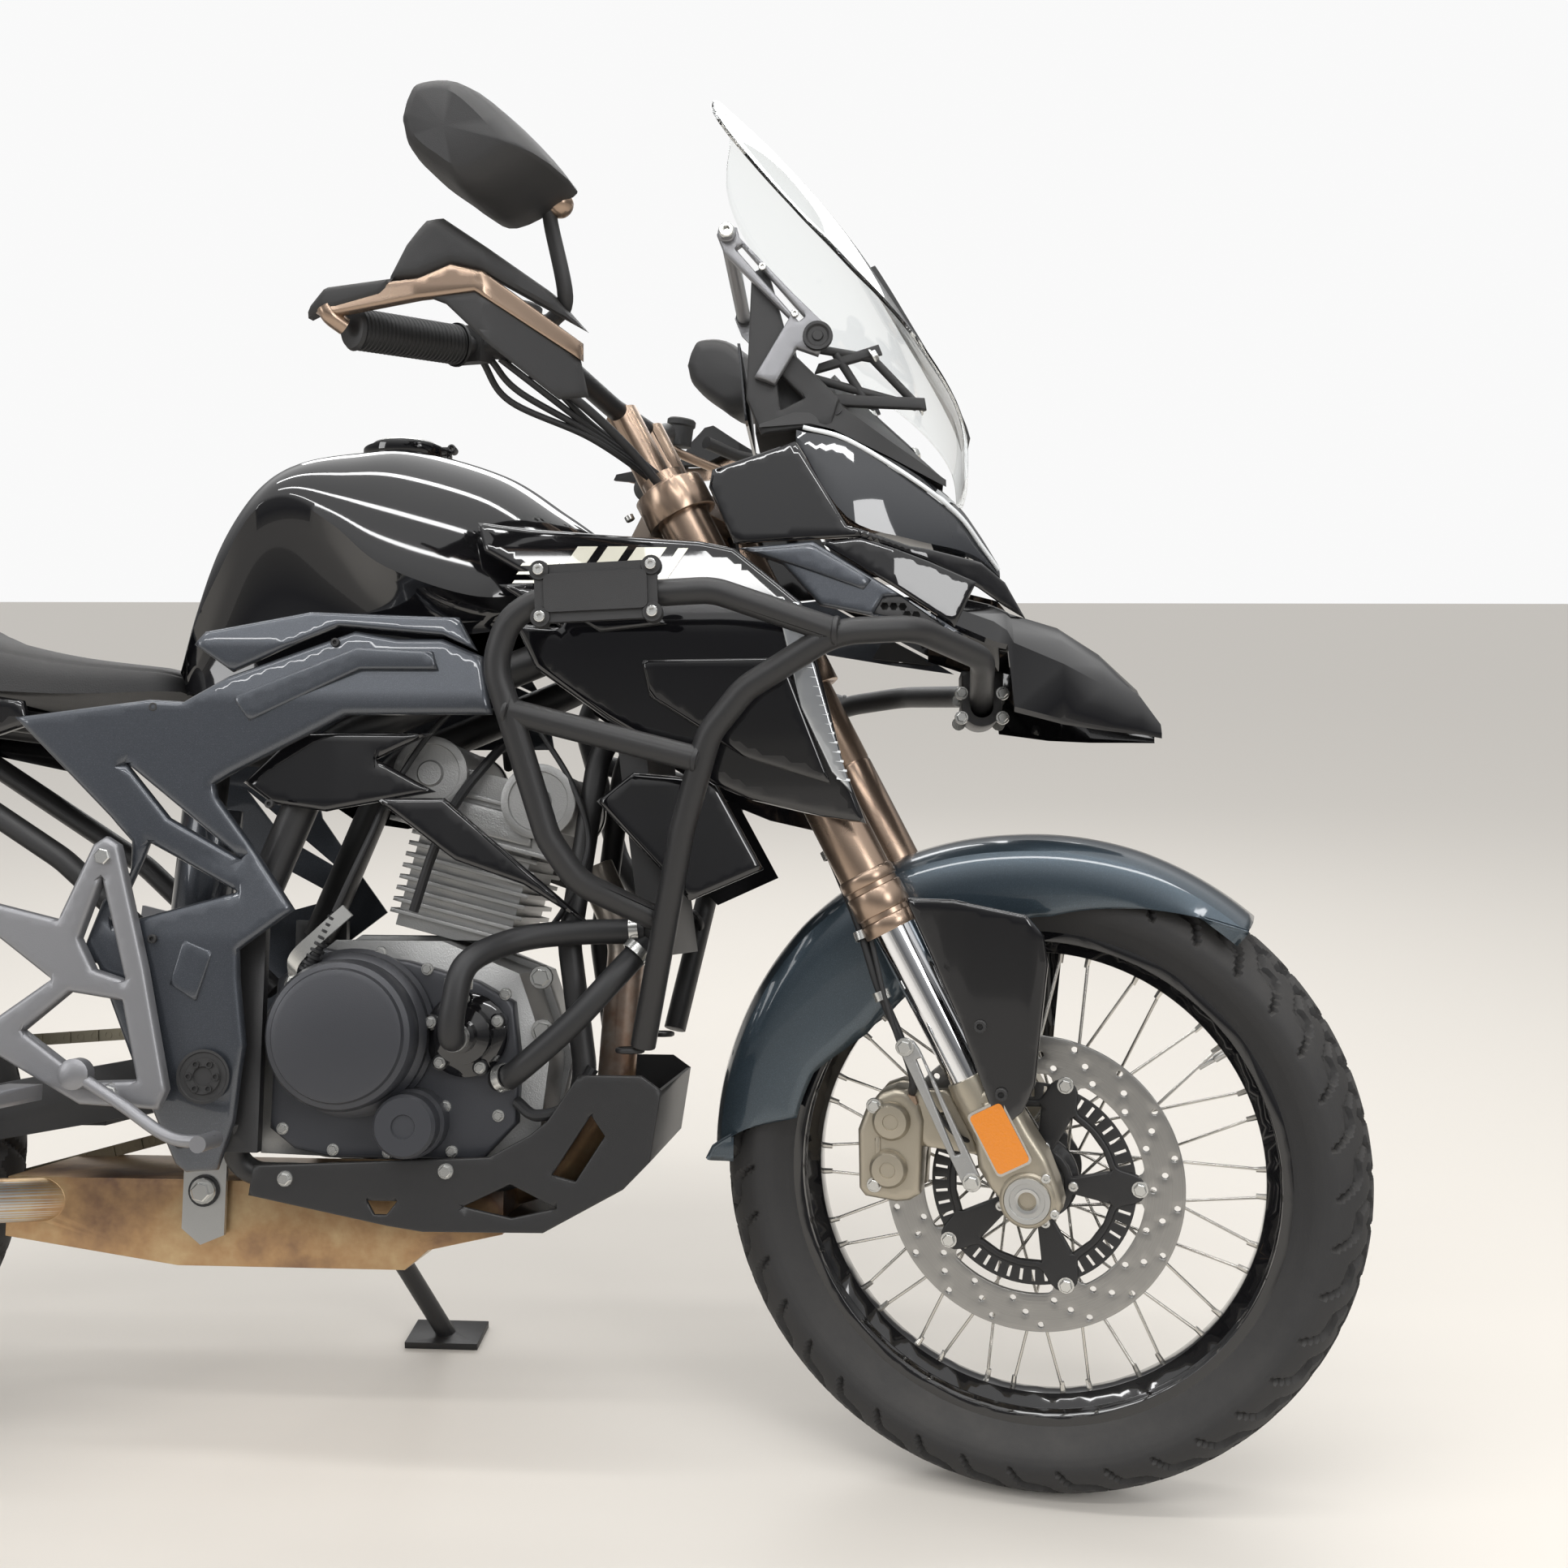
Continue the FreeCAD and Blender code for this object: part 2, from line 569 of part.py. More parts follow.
def fuel_tank():
    """Tank lofted through sections from the seat to the steering head."""
    stations = []
    for x, low, top, half in ((515, 815, 850, 95), (560, 815, 1005, 120), (640, 830, 1075, 145), (740, 860, 1090, 150),
                              (840, 870, 1064, 145), (905, 890, 1025, 110), (940, 915, 1000, 70)):
        section = [(half * 0.75, low), (half, low + 0.35 * (top - low)), (half * 0.86, low + 0.72 * (top - low)),
                   (half * 0.5, low + 0.95 * (top - low)), (half * 0.15, top)]
        stations.append((x, mirrored_section(section)))
    tank = lofted("tank_blank", "YZ_Plane", stations, False)
    neck = Part.makeCylinder(CAP_RADIUS + 4, 36, Vector(CAP.x, 0, CAP.z - 36), Vector(0, 0, 1))
    lugs = [Part.makeCylinder(5, 6, Vector(CAP_HINGE.x, y, CAP_HINGE.z), Vector(0, 1, 0)) for y in (-14.5, 8.5)]
    feet = [Part.makeBox(10, 6, 24, Vector(CAP_HINGE.x - 5, y, CAP_HINGE.z - 24)) for y in (-14.5, 8.5)]
    pin = Part.makeCylinder(2, 26, Vector(CAP_HINGE.x, -13, CAP_HINGE.z), Vector(0, 1, 0))
    add_node("fuel_tank", fused("tank_with_neck", [tank, solid("filler_neck", joined([neck, pin] + lugs + feet))]), PARK)


def side_panels():
    knee = plate("knee_panel", [(556, 852), (566, 866), (671, 887), (822, 881), (845, 845), (808, 862), (701, 871),
                                (595, 824)], 160, 8)
    add_node("knee_panels", group("knee_pair", [knee, mirror(knee)]), PARK)
    cover = plate("side_cover", [(376, 780), (515, 798), (550, 796), (593, 820), (718, 869), (762, 861), (807, 861),
                                 (848, 843), (860, 784), (713, 783), (673, 762), (600, 725), (582, 714), (585, 701),
                                 (612, 665), (667, 590), (614, 550), (615, 523), (623, 457), (612, 383), (594, 334),
                                 (563, 331), (552, 339), (472, 535), (455, 539), (479, 615), (486, 669), (478, 679)], 155, 5)
    add_node("side_covers", group("side_cover_pair", [cover, mirror(cover)]), PARK)
    shroud = plate("shroud", [(839, 961), (895, 968), (1064, 958), (1099, 951), (1145, 912), (1167, 893), (1208, 734),
                              (1230, 679), (1185, 686), (1118, 701), (1083, 715), (971, 779), (870, 790), (862, 850)], 172, 5)
    add_node("shrouds", group("shroud_pair", [shroud, mirror(shroud)]), PARK)
    blade = plate("blade", [(1000, 729), (1080, 722), (1129, 634), (1058, 602), (963, 700)], 150, 5)
    add_node("blades", group("blade_pair", [blade, mirror(blade)]), PARK)
    scoop = plate("scoop", [(1101, 956), (1176, 965), (1257, 916), (1313, 881), (1330, 868), (1183, 896), (1146, 939)], 150, 5)
    add_node("scoops", group("scoop_pair", [scoop, mirror(scoop)]), PARK)


def nose():
    """Beak under the headlamp and the lamp itself."""
    stations = []
    for x, low, top, half in ((1240, 880, 935, 110), (1366, 866, 912, 88), (1372, 799, 910, 86), (1400, 797, 900, 80),
                              (1476, 790, 868, 60), (1540, 786, 797, 30)):
        stations.append((x, mirrored_section([(half, low), (half * 0.9, (low + top) / 2), (half * 0.3, top)])))
    add_node("beak", lofted("beak_blank", "YZ_Plane", stations), PARK)
    stations = []
    for x, low, top, half in ((1170, 1030, 1082, 130), (1230, 985, 1060, 125), (1320, 950, 1003, 80), (1372, 936, 946, 35)):
        stations.append((x, mirrored_section([(half, low), (half, low + 0.6 * (top - low)), (half * 0.4, top)])))
    add_node("headlamp", lofted("lamp_blank", "YZ_Plane", stations), PARK)


def windscreen():
    """Curved clear screen on its brackets."""
    points = [(1074, 1475), (1120, 1432), (1211, 1332), (1265, 1239), (1336, 1111), (1332, 1108), (1261, 1237),
              (1207, 1330), (1117, 1429), (1072, 1472)]
    add_node("windscreen", plate("screen", points, 0, 300, True), PARK)
    bracket = plate("bracket", [(1081, 1294), (1145, 1223), (1158, 1197), (1117, 1142), (1130, 1085), (1170, 1085),
                                (1180, 1200), (1095, 1300)], 116, 12)
    cross = solid("device_bar", bar((1082, -116, 1291), (1082, 116, 1291), 8))
    dash = solid("dash", Part.makeBox(60, 200, 110, Vector(1120, -100, 1085)))
    add_node("screen_mount", fused("screen_frame", [bracket, mirror(bracket), cross, dash]), PARK)


def crash_bars():
    """Tube guards round the shrouds on both sides."""
    radius = size("bar_tube")
    parts = []
    for s in (1, -1):
        first = [(1027, -150, 584), (957, -200, 618), (930, -215, 659), (894, -235, 777), (880, -240, 820), (894, -245, 862),
                 (924, -250, 880), (1087, -255, 888), (1201, -250, 850)]
        second = [(1012, -130, 460), (1054, -190, 669), (1081, -215, 759), (1115, -225, 800), (1201, -250, 850),
                  (1274, -225, 858), (1345, -130, 845), (1352, 0, 812)]
        cross = [(894, -235, 777), (1070, -210, 735)]
        for route in (first, second, cross):
            parts.append(bent_tube([(x, s * y, z) for x, y, z in route], radius, 60))
    add_node("crash_bars", solid("crash_bars", joined(parts)), PARK)


def rear_body():
    stations = []
    for x, low, top, half in ((512, 818, 846, 80), (440, 812, 852, 120), (350, 812, 866, 140), (230, 830, 900, 140),
                              (150, 870, 940, 130), (-60, 890, 950, 115), (-200, 905, 955, 90)):
        stations.append((x, mirrored_section([(half * 0.8, low), (half, (low + top) / 2), (half * 0.8, top - 5), (half * 0.3, top)])))
    add_node("seat", lofted("seat_blank", "YZ_Plane", stations[::-1]), PARK)
    tail = plate("tail_panel", [(380, 775), (200, 800), (-230, 880), (-330, 935), (-215, 935), (-60, 885), (150, 862),
                                (230, 825), (380, 805)], 125, 5)
    add_node("tail_cowl", group("tail_pair", [tail, mirror(tail)]), PARK)
    fender = plate("fender", [(-355, 900), (-342.3, 900), (-344, 860), (-430, 600), (-440, 602), (-357, 865)], 0, 180, True)
    add_node("rear_fender", fender, PARK)


def footrests():
    points = [(483, 645), (557, 424), (540, 408), (430, 330), (400, 330), (520, 430), (477, 557), (378, 580), (378, 592),
              (470, 575)]
    piece = plate("footrest_plate", points, 178, 10)
    peg = solid("footpeg", bar((415, -178, 335), (415, -265, 335), 12))
    whole = fused("footrest_right", [piece, peg])
    add_node("footrests", group("footrest_pair", [whole, mirror(whole)]), PARK)


STAND_PIVOT = Vector(650, 128, 270)
STAND_DOWN = Vector(64, 185, -190)
STAND_BACK = Vector(-0.97, 0.2, 0.12)


def stand_place():
    """Frame of the stand's hinge: X down the leg, Z along the pivot pin."""
    return Placement(STAND_PIVOT, Rotation(STAND_DOWN, Vector(), STAND_DOWN.cross(STAND_BACK), "ZXY"))


def stand_tang():
    """Tang, pin and post that carry the stand under the left cradle tube."""
    inward = (STAND_DOWN.normalize() + STAND_BACK.normalize()).normalize() * -40
    elbow = STAND_PIVOT + inward
    eye = Part.makeCylinder(16, 12, Vector(0, 0, -6))
    pin = Part.makeCylinder(6, 40, Vector(0, 0, -20))
    for piece in (eye, pin):
        piece.Placement = stand_place()
    return [eye, pin, bar(STAND_PIVOT, elbow, 6), bar(elbow - Vector(0, 0, 6), (elbow.x, 100, 325), 10)]


def side_stand():
    """Stand leg with its clevis and foot, on the left."""
    place = stand_place()
    clevis = [Part.makeBox(30, 28, 28, Vector(22, -14, -14))]
    for low in (6.3, -14.3):
        clevis.append(Part.makeCylinder(16, 8, Vector(0, 0, low)))
        clevis.append(Part.makeBox(26, 28, 8, Vector(0, -14, low)))
    shape = joined(clevis).cut(Part.makeCylinder(6.05, 60, Vector(0, 0, -30)))
    shape.Placement = place
    floor = PARK.inverse()
    foot = Vector(714, 308, 0)
    pad = Part.makeBox(90, 60, 8, Vector(foot.x - 45, foot.y - 30, 0))
    pad.Placement = floor
    ankle = floor.multVec(foot + Vector(0, 0, 4))
    leg = bar(place.multVec(Vector(40, 0, 0)), ankle, 11)
    add_node("side_stand", solid("side_stand", joined([shape, leg, pad])), PARK)


def fuel_cap():
    cap = Part.makeCylinder(CAP_RADIUS, 6, CAP + Vector(0, 0, 0.3), Vector(0, 0, 1))
    arm = Part.makeBox(CAP_HINGE.x - CAP.x, 14, 4, Vector(CAP.x, -7, CAP.z + 2.3))
    knuckle = Part.makeCylinder(4.5, 14, Vector(CAP_HINGE.x, -7, CAP_HINGE.z), Vector(0, 1, 0))
    hole = Part.makeCylinder(2.05, 30, Vector(CAP_HINGE.x, -15, CAP_HINGE.z), Vector(0, 1, 0))
    add_node("fuel_cap", solid("fuel_cap", joined([cap, arm, knuckle]).cut(hole)), PARK)


for build in (front_wheel, rear_wheel, fork, clamps, handlebar, handguards, mirrors, front_mudguard, fork_guards,
              front_caliper, main_frame, subframe, swingarm, rear_shock, engine, radiator, exhaust, skid_plate,
              fuel_tank, side_panels, nose, windscreen, crash_bars, rear_body, footrests, side_stand, fuel_cap):
    build()
doc.recompute()
for label, item, place in nodes:
    item.Placement = place
doc.recompute()

# The origin lies under the middle of the machine's box
box = FreeCAD.BoundBox()
for label, item, place in nodes:
    box.add(item.Shape.optimalBoundingBox(False, False))
shift = Placement(Vector(-(box.XMin + box.XMax) / 2, -(box.YMin + box.YMax) / 2, 0), Rotation())
for label, item, place in nodes:
    item.Placement = shift.multiply(place)
doc.recompute()

for item in doc.Objects:
    if "Invalid" in item.State or "Error" in item.State:
        raise RuntimeError("failed: " + item.Name)
for label, item, place in nodes:
    if item.Shape.isNull() or not item.Shape.isValid():
        raise RuntimeError("no valid shape: " + label)
os.makedirs("parts", exist_ok=True)
for label, item, place in nodes:
    item.Shape.exportStep("parts/%s.step" % label)
print("nodes", len(nodes), "box", box, "shift", shift.Base)
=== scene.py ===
import json
import math

import bmesh
import bpy
import numpy as np
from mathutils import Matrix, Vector
from mathutils.geometry import delaunay_2d_cdt


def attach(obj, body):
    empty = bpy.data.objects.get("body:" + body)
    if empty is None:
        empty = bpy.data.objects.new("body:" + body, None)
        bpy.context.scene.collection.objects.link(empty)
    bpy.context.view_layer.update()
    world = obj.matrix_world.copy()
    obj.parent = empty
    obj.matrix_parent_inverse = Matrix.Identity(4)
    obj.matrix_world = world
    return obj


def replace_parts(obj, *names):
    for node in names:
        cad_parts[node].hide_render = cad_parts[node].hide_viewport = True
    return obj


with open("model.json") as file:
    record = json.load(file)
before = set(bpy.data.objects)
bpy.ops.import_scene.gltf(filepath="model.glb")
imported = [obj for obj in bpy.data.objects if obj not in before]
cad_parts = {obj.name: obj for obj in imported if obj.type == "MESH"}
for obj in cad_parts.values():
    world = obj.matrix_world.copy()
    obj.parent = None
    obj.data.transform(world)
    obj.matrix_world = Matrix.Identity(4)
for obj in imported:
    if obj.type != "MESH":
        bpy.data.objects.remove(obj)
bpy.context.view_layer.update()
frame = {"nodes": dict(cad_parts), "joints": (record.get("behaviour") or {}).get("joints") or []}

bl_info = {
    "name": "Adventure Motorcycle Finish",
    "version": (1, 1, 0),
    "blender": (4, 5, 0),
    "location": "View3D > Sidebar > Motorcycle",
    "description": "Finishes, soft parts and fine fittings of a parked adventure motorcycle",
    "category": "Object",
}

MM = 0.001


# Places on the machine

def joint(name):
    """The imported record's joint of that name."""
    return next(item for item in frame["joints"] if item["name"] == name)


def machine_axes(axle, ahead, height, rake=27.5):
    """Frame of the upright machine seen from one axle: its ground origin and its forward, left and up axes.

    The axle points left and the steering axis leans back by the rake, so forward and up follow from the two.
    """
    left = np.array(joint(axle)["axis"])
    stem = np.array(joint("steering")["axis"])
    square = np.cross(left, stem)
    lean = math.radians(rake)
    forward = square * math.cos(lean) - stem * math.sin(lean)
    up = square * math.sin(lean) + stem * math.cos(lean)
    origin = np.array(joint(axle)["pos_m"]) - forward * ahead * MM - up * height * MM
    return origin, np.array([forward, left, up])


WHEELBASE = 1410
FRONT_RADIUS = 329.3
REAR_RADIUS = 318
CHASSIS = machine_axes("rear_axle", 0, REAR_RADIUS)
STEERING = machine_axes("front_axle", WHEELBASE, FRONT_RADIUS)
FRONT_AXLE = np.array([WHEELBASE, 0, FRONT_RADIUS])
REAR_AXLE = np.array([0, 0, REAR_RADIUS])
LEG = np.array([-math.sin(math.radians(27.5)), 0, math.cos(math.radians(27.5))])
LEG_SIDE = 96
OUTWARD = (0, -1, 0)


def to_row(points, place):
    """Points in millimetres on the upright machine, turned and moved into the row frame in metres."""
    origin, axes = place
    return origin + np.asarray(points, float) * MM @ axes


def from_row(points, place):
    """Points of the row frame in millimetres on the upright machine."""
    origin, axes = place
    return (np.asarray(points, float) - origin) @ axes.T / MM


def other_side(points):
    """The points on the left of the machine."""
    return np.asarray(points, float) * (1, -1, 1)


def inside(x, z, outline):
    """Mask of the side-view points inside an outline: an odd number of its edges lie ahead of each."""
    hit = np.zeros(np.shape(x), bool)
    for (u, v), (s, t) in zip(outline, outline[1:] + outline[:1]):
        if v != t:
            hit ^= ((v > z) != (t > z)) & (x < u + (s - u) * (z - v) / (t - v))
    return hit


def tilted(points, centre, degrees):
    """Side-view points turned by an angle and moved to a centre."""
    turn = math.radians(degrees)
    return [(centre[0] + u * math.cos(turn) - v * math.sin(turn), centre[1] + u * math.sin(turn)
             + v * math.cos(turn)) for u, v in points]


def round_spots(centre, radius, turns):
    """Side-view points on a circle, at the given angles in radians."""
    return [(centre[0] + radius * math.cos(turn), centre[1] + radius * math.sin(turn)) for turn in turns]


def end_caps(grid):
    """The grid with a row at each end that gathers in the middle of that end."""
    ends = [np.repeat(grid[end].mean(0)[None, None], grid.shape[1], 1) for end in (0, -1)]
    return np.concatenate([ends[0], grid, ends[1]])


# Point grids

def swept(path, radius, sides=16, caps=True):
    """Tube round a path: each point's ring stands square to the path, carried along without twist."""
    path = np.asarray(path, float)
    count = len(path)
    along = np.gradient(path, axis=0)
    along /= np.linalg.norm(along, axis=1, keepdims=True)
    normal = np.empty_like(along)
    start = np.cross(along[0], [0.13, 0.31, 0.94])
    normal[0] = start / np.linalg.norm(start)
    for i in range(1, count):
        step = normal[i - 1] - along[i] * (normal[i - 1] @ along[i])
        normal[i] = step / np.linalg.norm(step)
    side = np.cross(along, normal)
    turn = np.linspace(0, 2 * math.pi, sides + 1)
    reach = np.broadcast_to(np.asarray(radius, float), (count,))[:, None, None]
    ring = normal[:, None] * np.cos(turn)[:, None] + side[:, None] * np.sin(turn)[:, None]
    grid = path[:, None] + ring * reach
    if caps:
        grid = np.concatenate([np.repeat(path[:1, None], sides + 1, 1), grid,
                               np.repeat(path[-1:, None], sides + 1, 1)])
    return grid


def smooth_path(points, steps=12):
    """Curve through the points: a cubic in each span, its slope at each point half the chord across it."""
    points = np.asarray(points, float)
    slope = np.gradient(points, axis=0)
    t = np.linspace(0, 1, steps, endpoint=False)[None, :, None]
    a, b = points[:-1, None], points[1:, None]
    m, n = slope[:-1, None], slope[1:, None]
    curve = (2 * t**3 - 3 * t**2 + 1) * a + (t**3 - 2 * t**2 + t) * m
    curve = curve + (3 * t**2 - 2 * t**3) * b + (t**3 - t**2) * n
    return np.concatenate([curve.reshape(-1, points.shape[1]), points[-1:]])


def lathe(profile, centre, axis, sides=48):
    """Profile of (radius, distance along the axis) points, turned once round the axis."""
    profile = np.asarray(profile, float)
    axis = np.asarray(axis, float) / np.linalg.norm(axis)
    first = np.cross(axis, [0.21, 0.37, 0.9])
    first /= np.linalg.norm(first)
    second = np.cross(axis, first)
    turn = np.linspace(0, 2 * math.pi, sides + 1)
    ring = first * np.cos(turn)[:, None] + second * np.sin(turn)[:, None]
    return np.asarray(centre, float) + profile[:, None, :1] * ring[None] + profile[:, None, 1:] * axis


def socket_screw(centre, axis, radius):
    """Cap screw with a round recess in its head: a short profile turned round its axis."""
    height = 0.9 * radius
    profile = [(0, 0.4 * height), (0.45 * radius, 0.4 * height), (0.5 * radius, height),
               (0.86 * radius, height), (radius, 0.85 * height), (radius, -1.0)]
    return lathe(profile, centre, axis, sides=12)


def hex_bolt(centre, axis, radius):
    """Flanged bolt: a six-sided head on a round washer."""
    height = 0.8 * radius
    head = lathe([(0, height), (0.86 * radius, height), (radius, 0.85 * height), (radius, 0.2 * height)],
                 centre, axis, sides=6)
    washer = lathe([(0, 0.25 * height), (1.25 * radius, 0.22 * height), (1.35 * radius, 0),
                    (1.35 * radius, -1)], centre, axis, sides=14)
    return [head, washer]


def clip_ring(centre, axis, radius, width, wall=1.2):
    """Hose clip: a thin ring turned round the hose."""
    half = width / 2
    profile = [(radius, -half), (radius + wall, -half), (radius + wall, half), (radius, half),
               (radius, -half)]
    return lathe(profile, centre, axis, sides=24)


def ribbon(path, side, up):
    """Flat bar along a path: at each point four corners stand off by the side and up vectors."""
    path = np.asarray(path, float)
    side, up = np.broadcast_to(side, path.shape), np.broadcast_to(up, path.shape)
    corners = [path + side + up, path - side + up, path - side - up, path + side - up, path + side + up]
    grid = np.stack(corners, 1)
    ends = [np.repeat(path[end][None, None], 5, 1) for end in (0, -1)]
    return np.concatenate([ends[0], grid, ends[1]])


def slab(outline, side, depth):
    """Flat piece in side view: the outline at one distance from the middle plane and again further out."""
    outline = np.asarray(outline + outline[:1], float)
    near = np.stack([outline[:, 0], np.full(len(outline), side), outline[:, 1]], 1)
    far = near + (0, depth, 0)
    return np.stack([np.repeat(near[:-1].mean(0)[None], len(near), 0), near, far,
                     np.repeat(far[:-1].mean(0)[None], len(far), 0)])


def rounded(half_x, half_z, corner, steps=5):
    """Outline of a rectangle about the origin with round corners."""
    turn = np.linspace(0, math.pi / 2, steps)
    spots = []
    for quarter, (sx, sz) in enumerate(((1, 1), (-1, 1), (-1, -1), (1, -1))):
        angle = turn + quarter * math.pi / 2
        spots += list(zip(sx * (half_x - corner) + corner * np.cos(angle), sz * (half_z - corner)
                          + corner * np.sin(angle)))
    return spots


def quads(grid):
    """A point grid as points and the quads between its neighbours."""
    rows, columns = grid.shape[:2]
    index = np.arange(rows * columns).reshape(rows, columns)
    faces = np.stack([index[:-1, :-1], index[1:, :-1], index[1:, 1:], index[:-1, 1:]], -1).reshape(-1, 4)
    return grid.reshape(-1, 3), faces.tolist()


def make_piece(name, grids, place, body, finish, crease=35):
    """One object from grids or from points with faces: equal points merge and normals turn outwards."""
    verts, faces, start = [], [], 0
    for grid in grids:
        points, corners = grid if isinstance(grid, tuple) else quads(grid)
        faces += [[start + corner for corner in face] for face in corners]
        verts.append(points)
        start += len(points)
    mesh = bpy.data.meshes.new(name)
    mesh.from_pydata(to_row(np.concatenate(verts), place), [], faces)
    solid = bmesh.new()
    solid.from_mesh(mesh)
    bmesh.ops.remove_doubles(solid, verts=solid.verts, dist=1e-5)
    bmesh.ops.dissolve_degenerate(solid, edges=solid.edges, dist=1e-6)
    bmesh.ops.recalc_face_normals(solid, faces=solid.faces)
    solid.to_mesh(mesh)
    solid.free()
    mesh.shade_smooth()
    mesh.set_sharp_from_angle(angle=math.radians(crease))
    item = bpy.data.objects.new(name, mesh)
    bpy.context.scene.collection.objects.link(item)
    item.data.materials.append(finish)
    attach(item, body)
    return item


def on_chassis(name, shapes, coating, crease=35):
    """Piece of the chassis in the named finish."""
    return make_piece(name, shapes, CHASSIS, "chassis", finish(coating), crease=crease)


def on_fork(name, shapes, coating, crease=35):
    """Piece that turns with the fork, in the named finish."""
    return make_piece(name, shapes, STEERING, "steering", finish(coating), crease=crease)


# Effects shared by the finishes

def effect(name, inputs, outputs):
    """Empty shader node group with named float, vector or colour sockets."""
    tree = bpy.data.node_groups.new(name, "ShaderNodeTree")
    kinds = {float: "NodeSocketFloat", tuple: "NodeSocketColor", None: "NodeSocketVector"}
    for label, value in inputs.items():
        kind = kinds[None] if value is None else kinds[type(value)]
        socket = tree.interface.new_socket(label, in_out="INPUT", socket_type=kind)
        if value is not None:
            socket.default_value = value
    for label, kind in outputs.items():
        tree.interface.new_socket(label, in_out="OUTPUT", socket_type=kinds[kind])
    return tree, tree.nodes.new("NodeGroupInput"), tree.nodes.new("NodeGroupOutput")


def noise(tree, vector, scale, detail=3.0, rough=0.55):
    """Noise of a vector at a scale given as a number or a socket."""
    node = tree.nodes.new("ShaderNodeTexNoise")
    node.inputs["Detail"].default_value = detail
    node.inputs["Roughness"].default_value = rough
    tree.links.new(vector, node.inputs["Vector"])
    if isinstance(scale, float):
        node.inputs["Scale"].default_value = scale
    else:
        tree.links.new(scale, node.inputs["Scale"])
    return node


def math_node(tree, operation, first, second=0.0):
    """Output of a math node fed with numbers or sockets."""
    node = tree.nodes.new("ShaderNodeMath")
    node.operation = operation
    for socket, value in zip(node.inputs, (first, second)):
        if isinstance(value, (int, float)):
            socket.default_value = value
        else:
            tree.links.new(value, socket)
    return node.outputs[0]


def vector_node(tree, operation, first, second):
    """Vector math node fed with tuples or sockets."""
    node = tree.nodes.new("ShaderNodeVectorMath")
    node.operation = operation
    for socket, value in zip(node.inputs, (first, second)):
        if isinstance(value, tuple):
            socket.default_value = value
        else:
            tree.links.new(value, socket)
    return node


def ramp(tree, factor, stops):
    """Colour ramp with stops of (place, colour)."""
    node = tree.nodes.new("ShaderNodeValToRGB")
    while len(node.color_ramp.elements) < len(stops):
        node.color_ramp.elements.new(0.5)
    for element, (spot, colour) in zip(node.color_ramp.elements, stops):
        element.position = spot
        element.color = (*colour, 1.0)
    tree.links.new(factor, node.inputs["Fac"])
    return node.outputs["Color"]


def blend_colour(tree, factor, first, second):
    """Mix of two colours, each a tuple or a socket, by a factor."""
    node = tree.nodes.new("ShaderNodeMix")
    node.data_type = "RGBA"
    tree.links.new(factor, node.inputs["Factor"])
    for socket, value in zip((node.inputs[6], node.inputs[7]), (first, second)):
        if isinstance(value, tuple):
            socket.default_value = (*value[:3], 1.0)
        else:
            tree.links.new(value, socket)
    return node.outputs[2]


def fine_grain():
    """Moulded or cast skin: small noise as a height."""
    tree, given, result = effect("Fine Grain", {"Vector": None, "Scale": 900.0}, {"Height": float})
    grain = noise(tree, given.outputs["Vector"], given.outputs["Scale"], detail=2.0)
    tree.links.new(grain.outputs["Fac"], result.inputs["Height"])
    return tree


def handled_gloss():
    """Roughness that drifts over the surface as on wiped and handled paint."""
    tree, given, result = effect("Handled Gloss",
                                 {"Vector": None, "Scale": 6.0, "Roughness": 0.2, "Spread": 0.1},
                                 {"Roughness": float})
    drift = noise(tree, given.outputs["Vector"], given.outputs["Scale"], detail=4.0, rough=0.6)
    centred = math_node(tree, "SUBTRACT", drift.outputs["Fac"], 0.5)
    spread = math_node(tree, "MULTIPLY", centred, given.outputs["Spread"])
    tree.links.new(math_node(tree, "ADD", spread, given.outputs["Roughness"]), result.inputs["Roughness"])
    return tree


def heat_stains():
    """Straw, bronze, brown and grey stains that drift over a hot pipe, darker towards its top."""
    tree, given, result = effect("Heat Stains", {"Vector": None}, {"Color": tuple})
    broad = noise(tree, given.outputs["Vector"], 7.0, detail=5.0, rough=0.65)
    fine = noise(tree, given.outputs["Vector"], 38.0, detail=4.0, rough=0.6)
    parts = tree.nodes.new("ShaderNodeSeparateXYZ")
    tree.links.new(given.outputs["Vector"], parts.inputs[0])
    height = math_node(tree, "MULTIPLY", parts.outputs["Z"], 0.9)
    mixed = math_node(tree, "ADD", math_node(tree, "MULTIPLY", broad.outputs["Fac"], 0.75), height)
    mixed = math_node(tree, "ADD", mixed, math_node(tree, "MULTIPLY", fine.outputs["Fac"], 0.14))
    stains = ramp(tree, mixed, [(0.4, (0.66, 0.57, 0.42)), (0.56, (0.55, 0.42, 0.24)),
                                (0.7, (0.4, 0.25, 0.13)), (0.82, (0.2, 0.12, 0.08)),
                                (0.95, (0.34, 0.3, 0.26))])
    tree.links.new(stains, result.inputs["Color"])
    return tree


def metal_flake():
    """Metallic paint: fine flakes that lift the colour."""
    tree, given, result = effect("Metal Flake", {"Vector": None, "Color": (0.05, 0.07, 0.1, 1.0)},
                                 {"Color": tuple})
    flakes = noise(tree, given.outputs["Vector"], 2400.0, detail=1.0, rough=0.5)
    picked = ramp(tree, flakes.outputs["Fac"], [(0.56, (0.0, 0.0, 0.0)), (0.72, (0.55, 0.55, 0.55))])
    bright = vector_node(tree, "MULTIPLY", given.outputs["Color"], (3.2, 3.1, 3.0))
    tree.links.new(blend_colour(tree, picked, given.outputs["Color"], bright.outputs[0]),
                   result.inputs["Color"])
    return tree


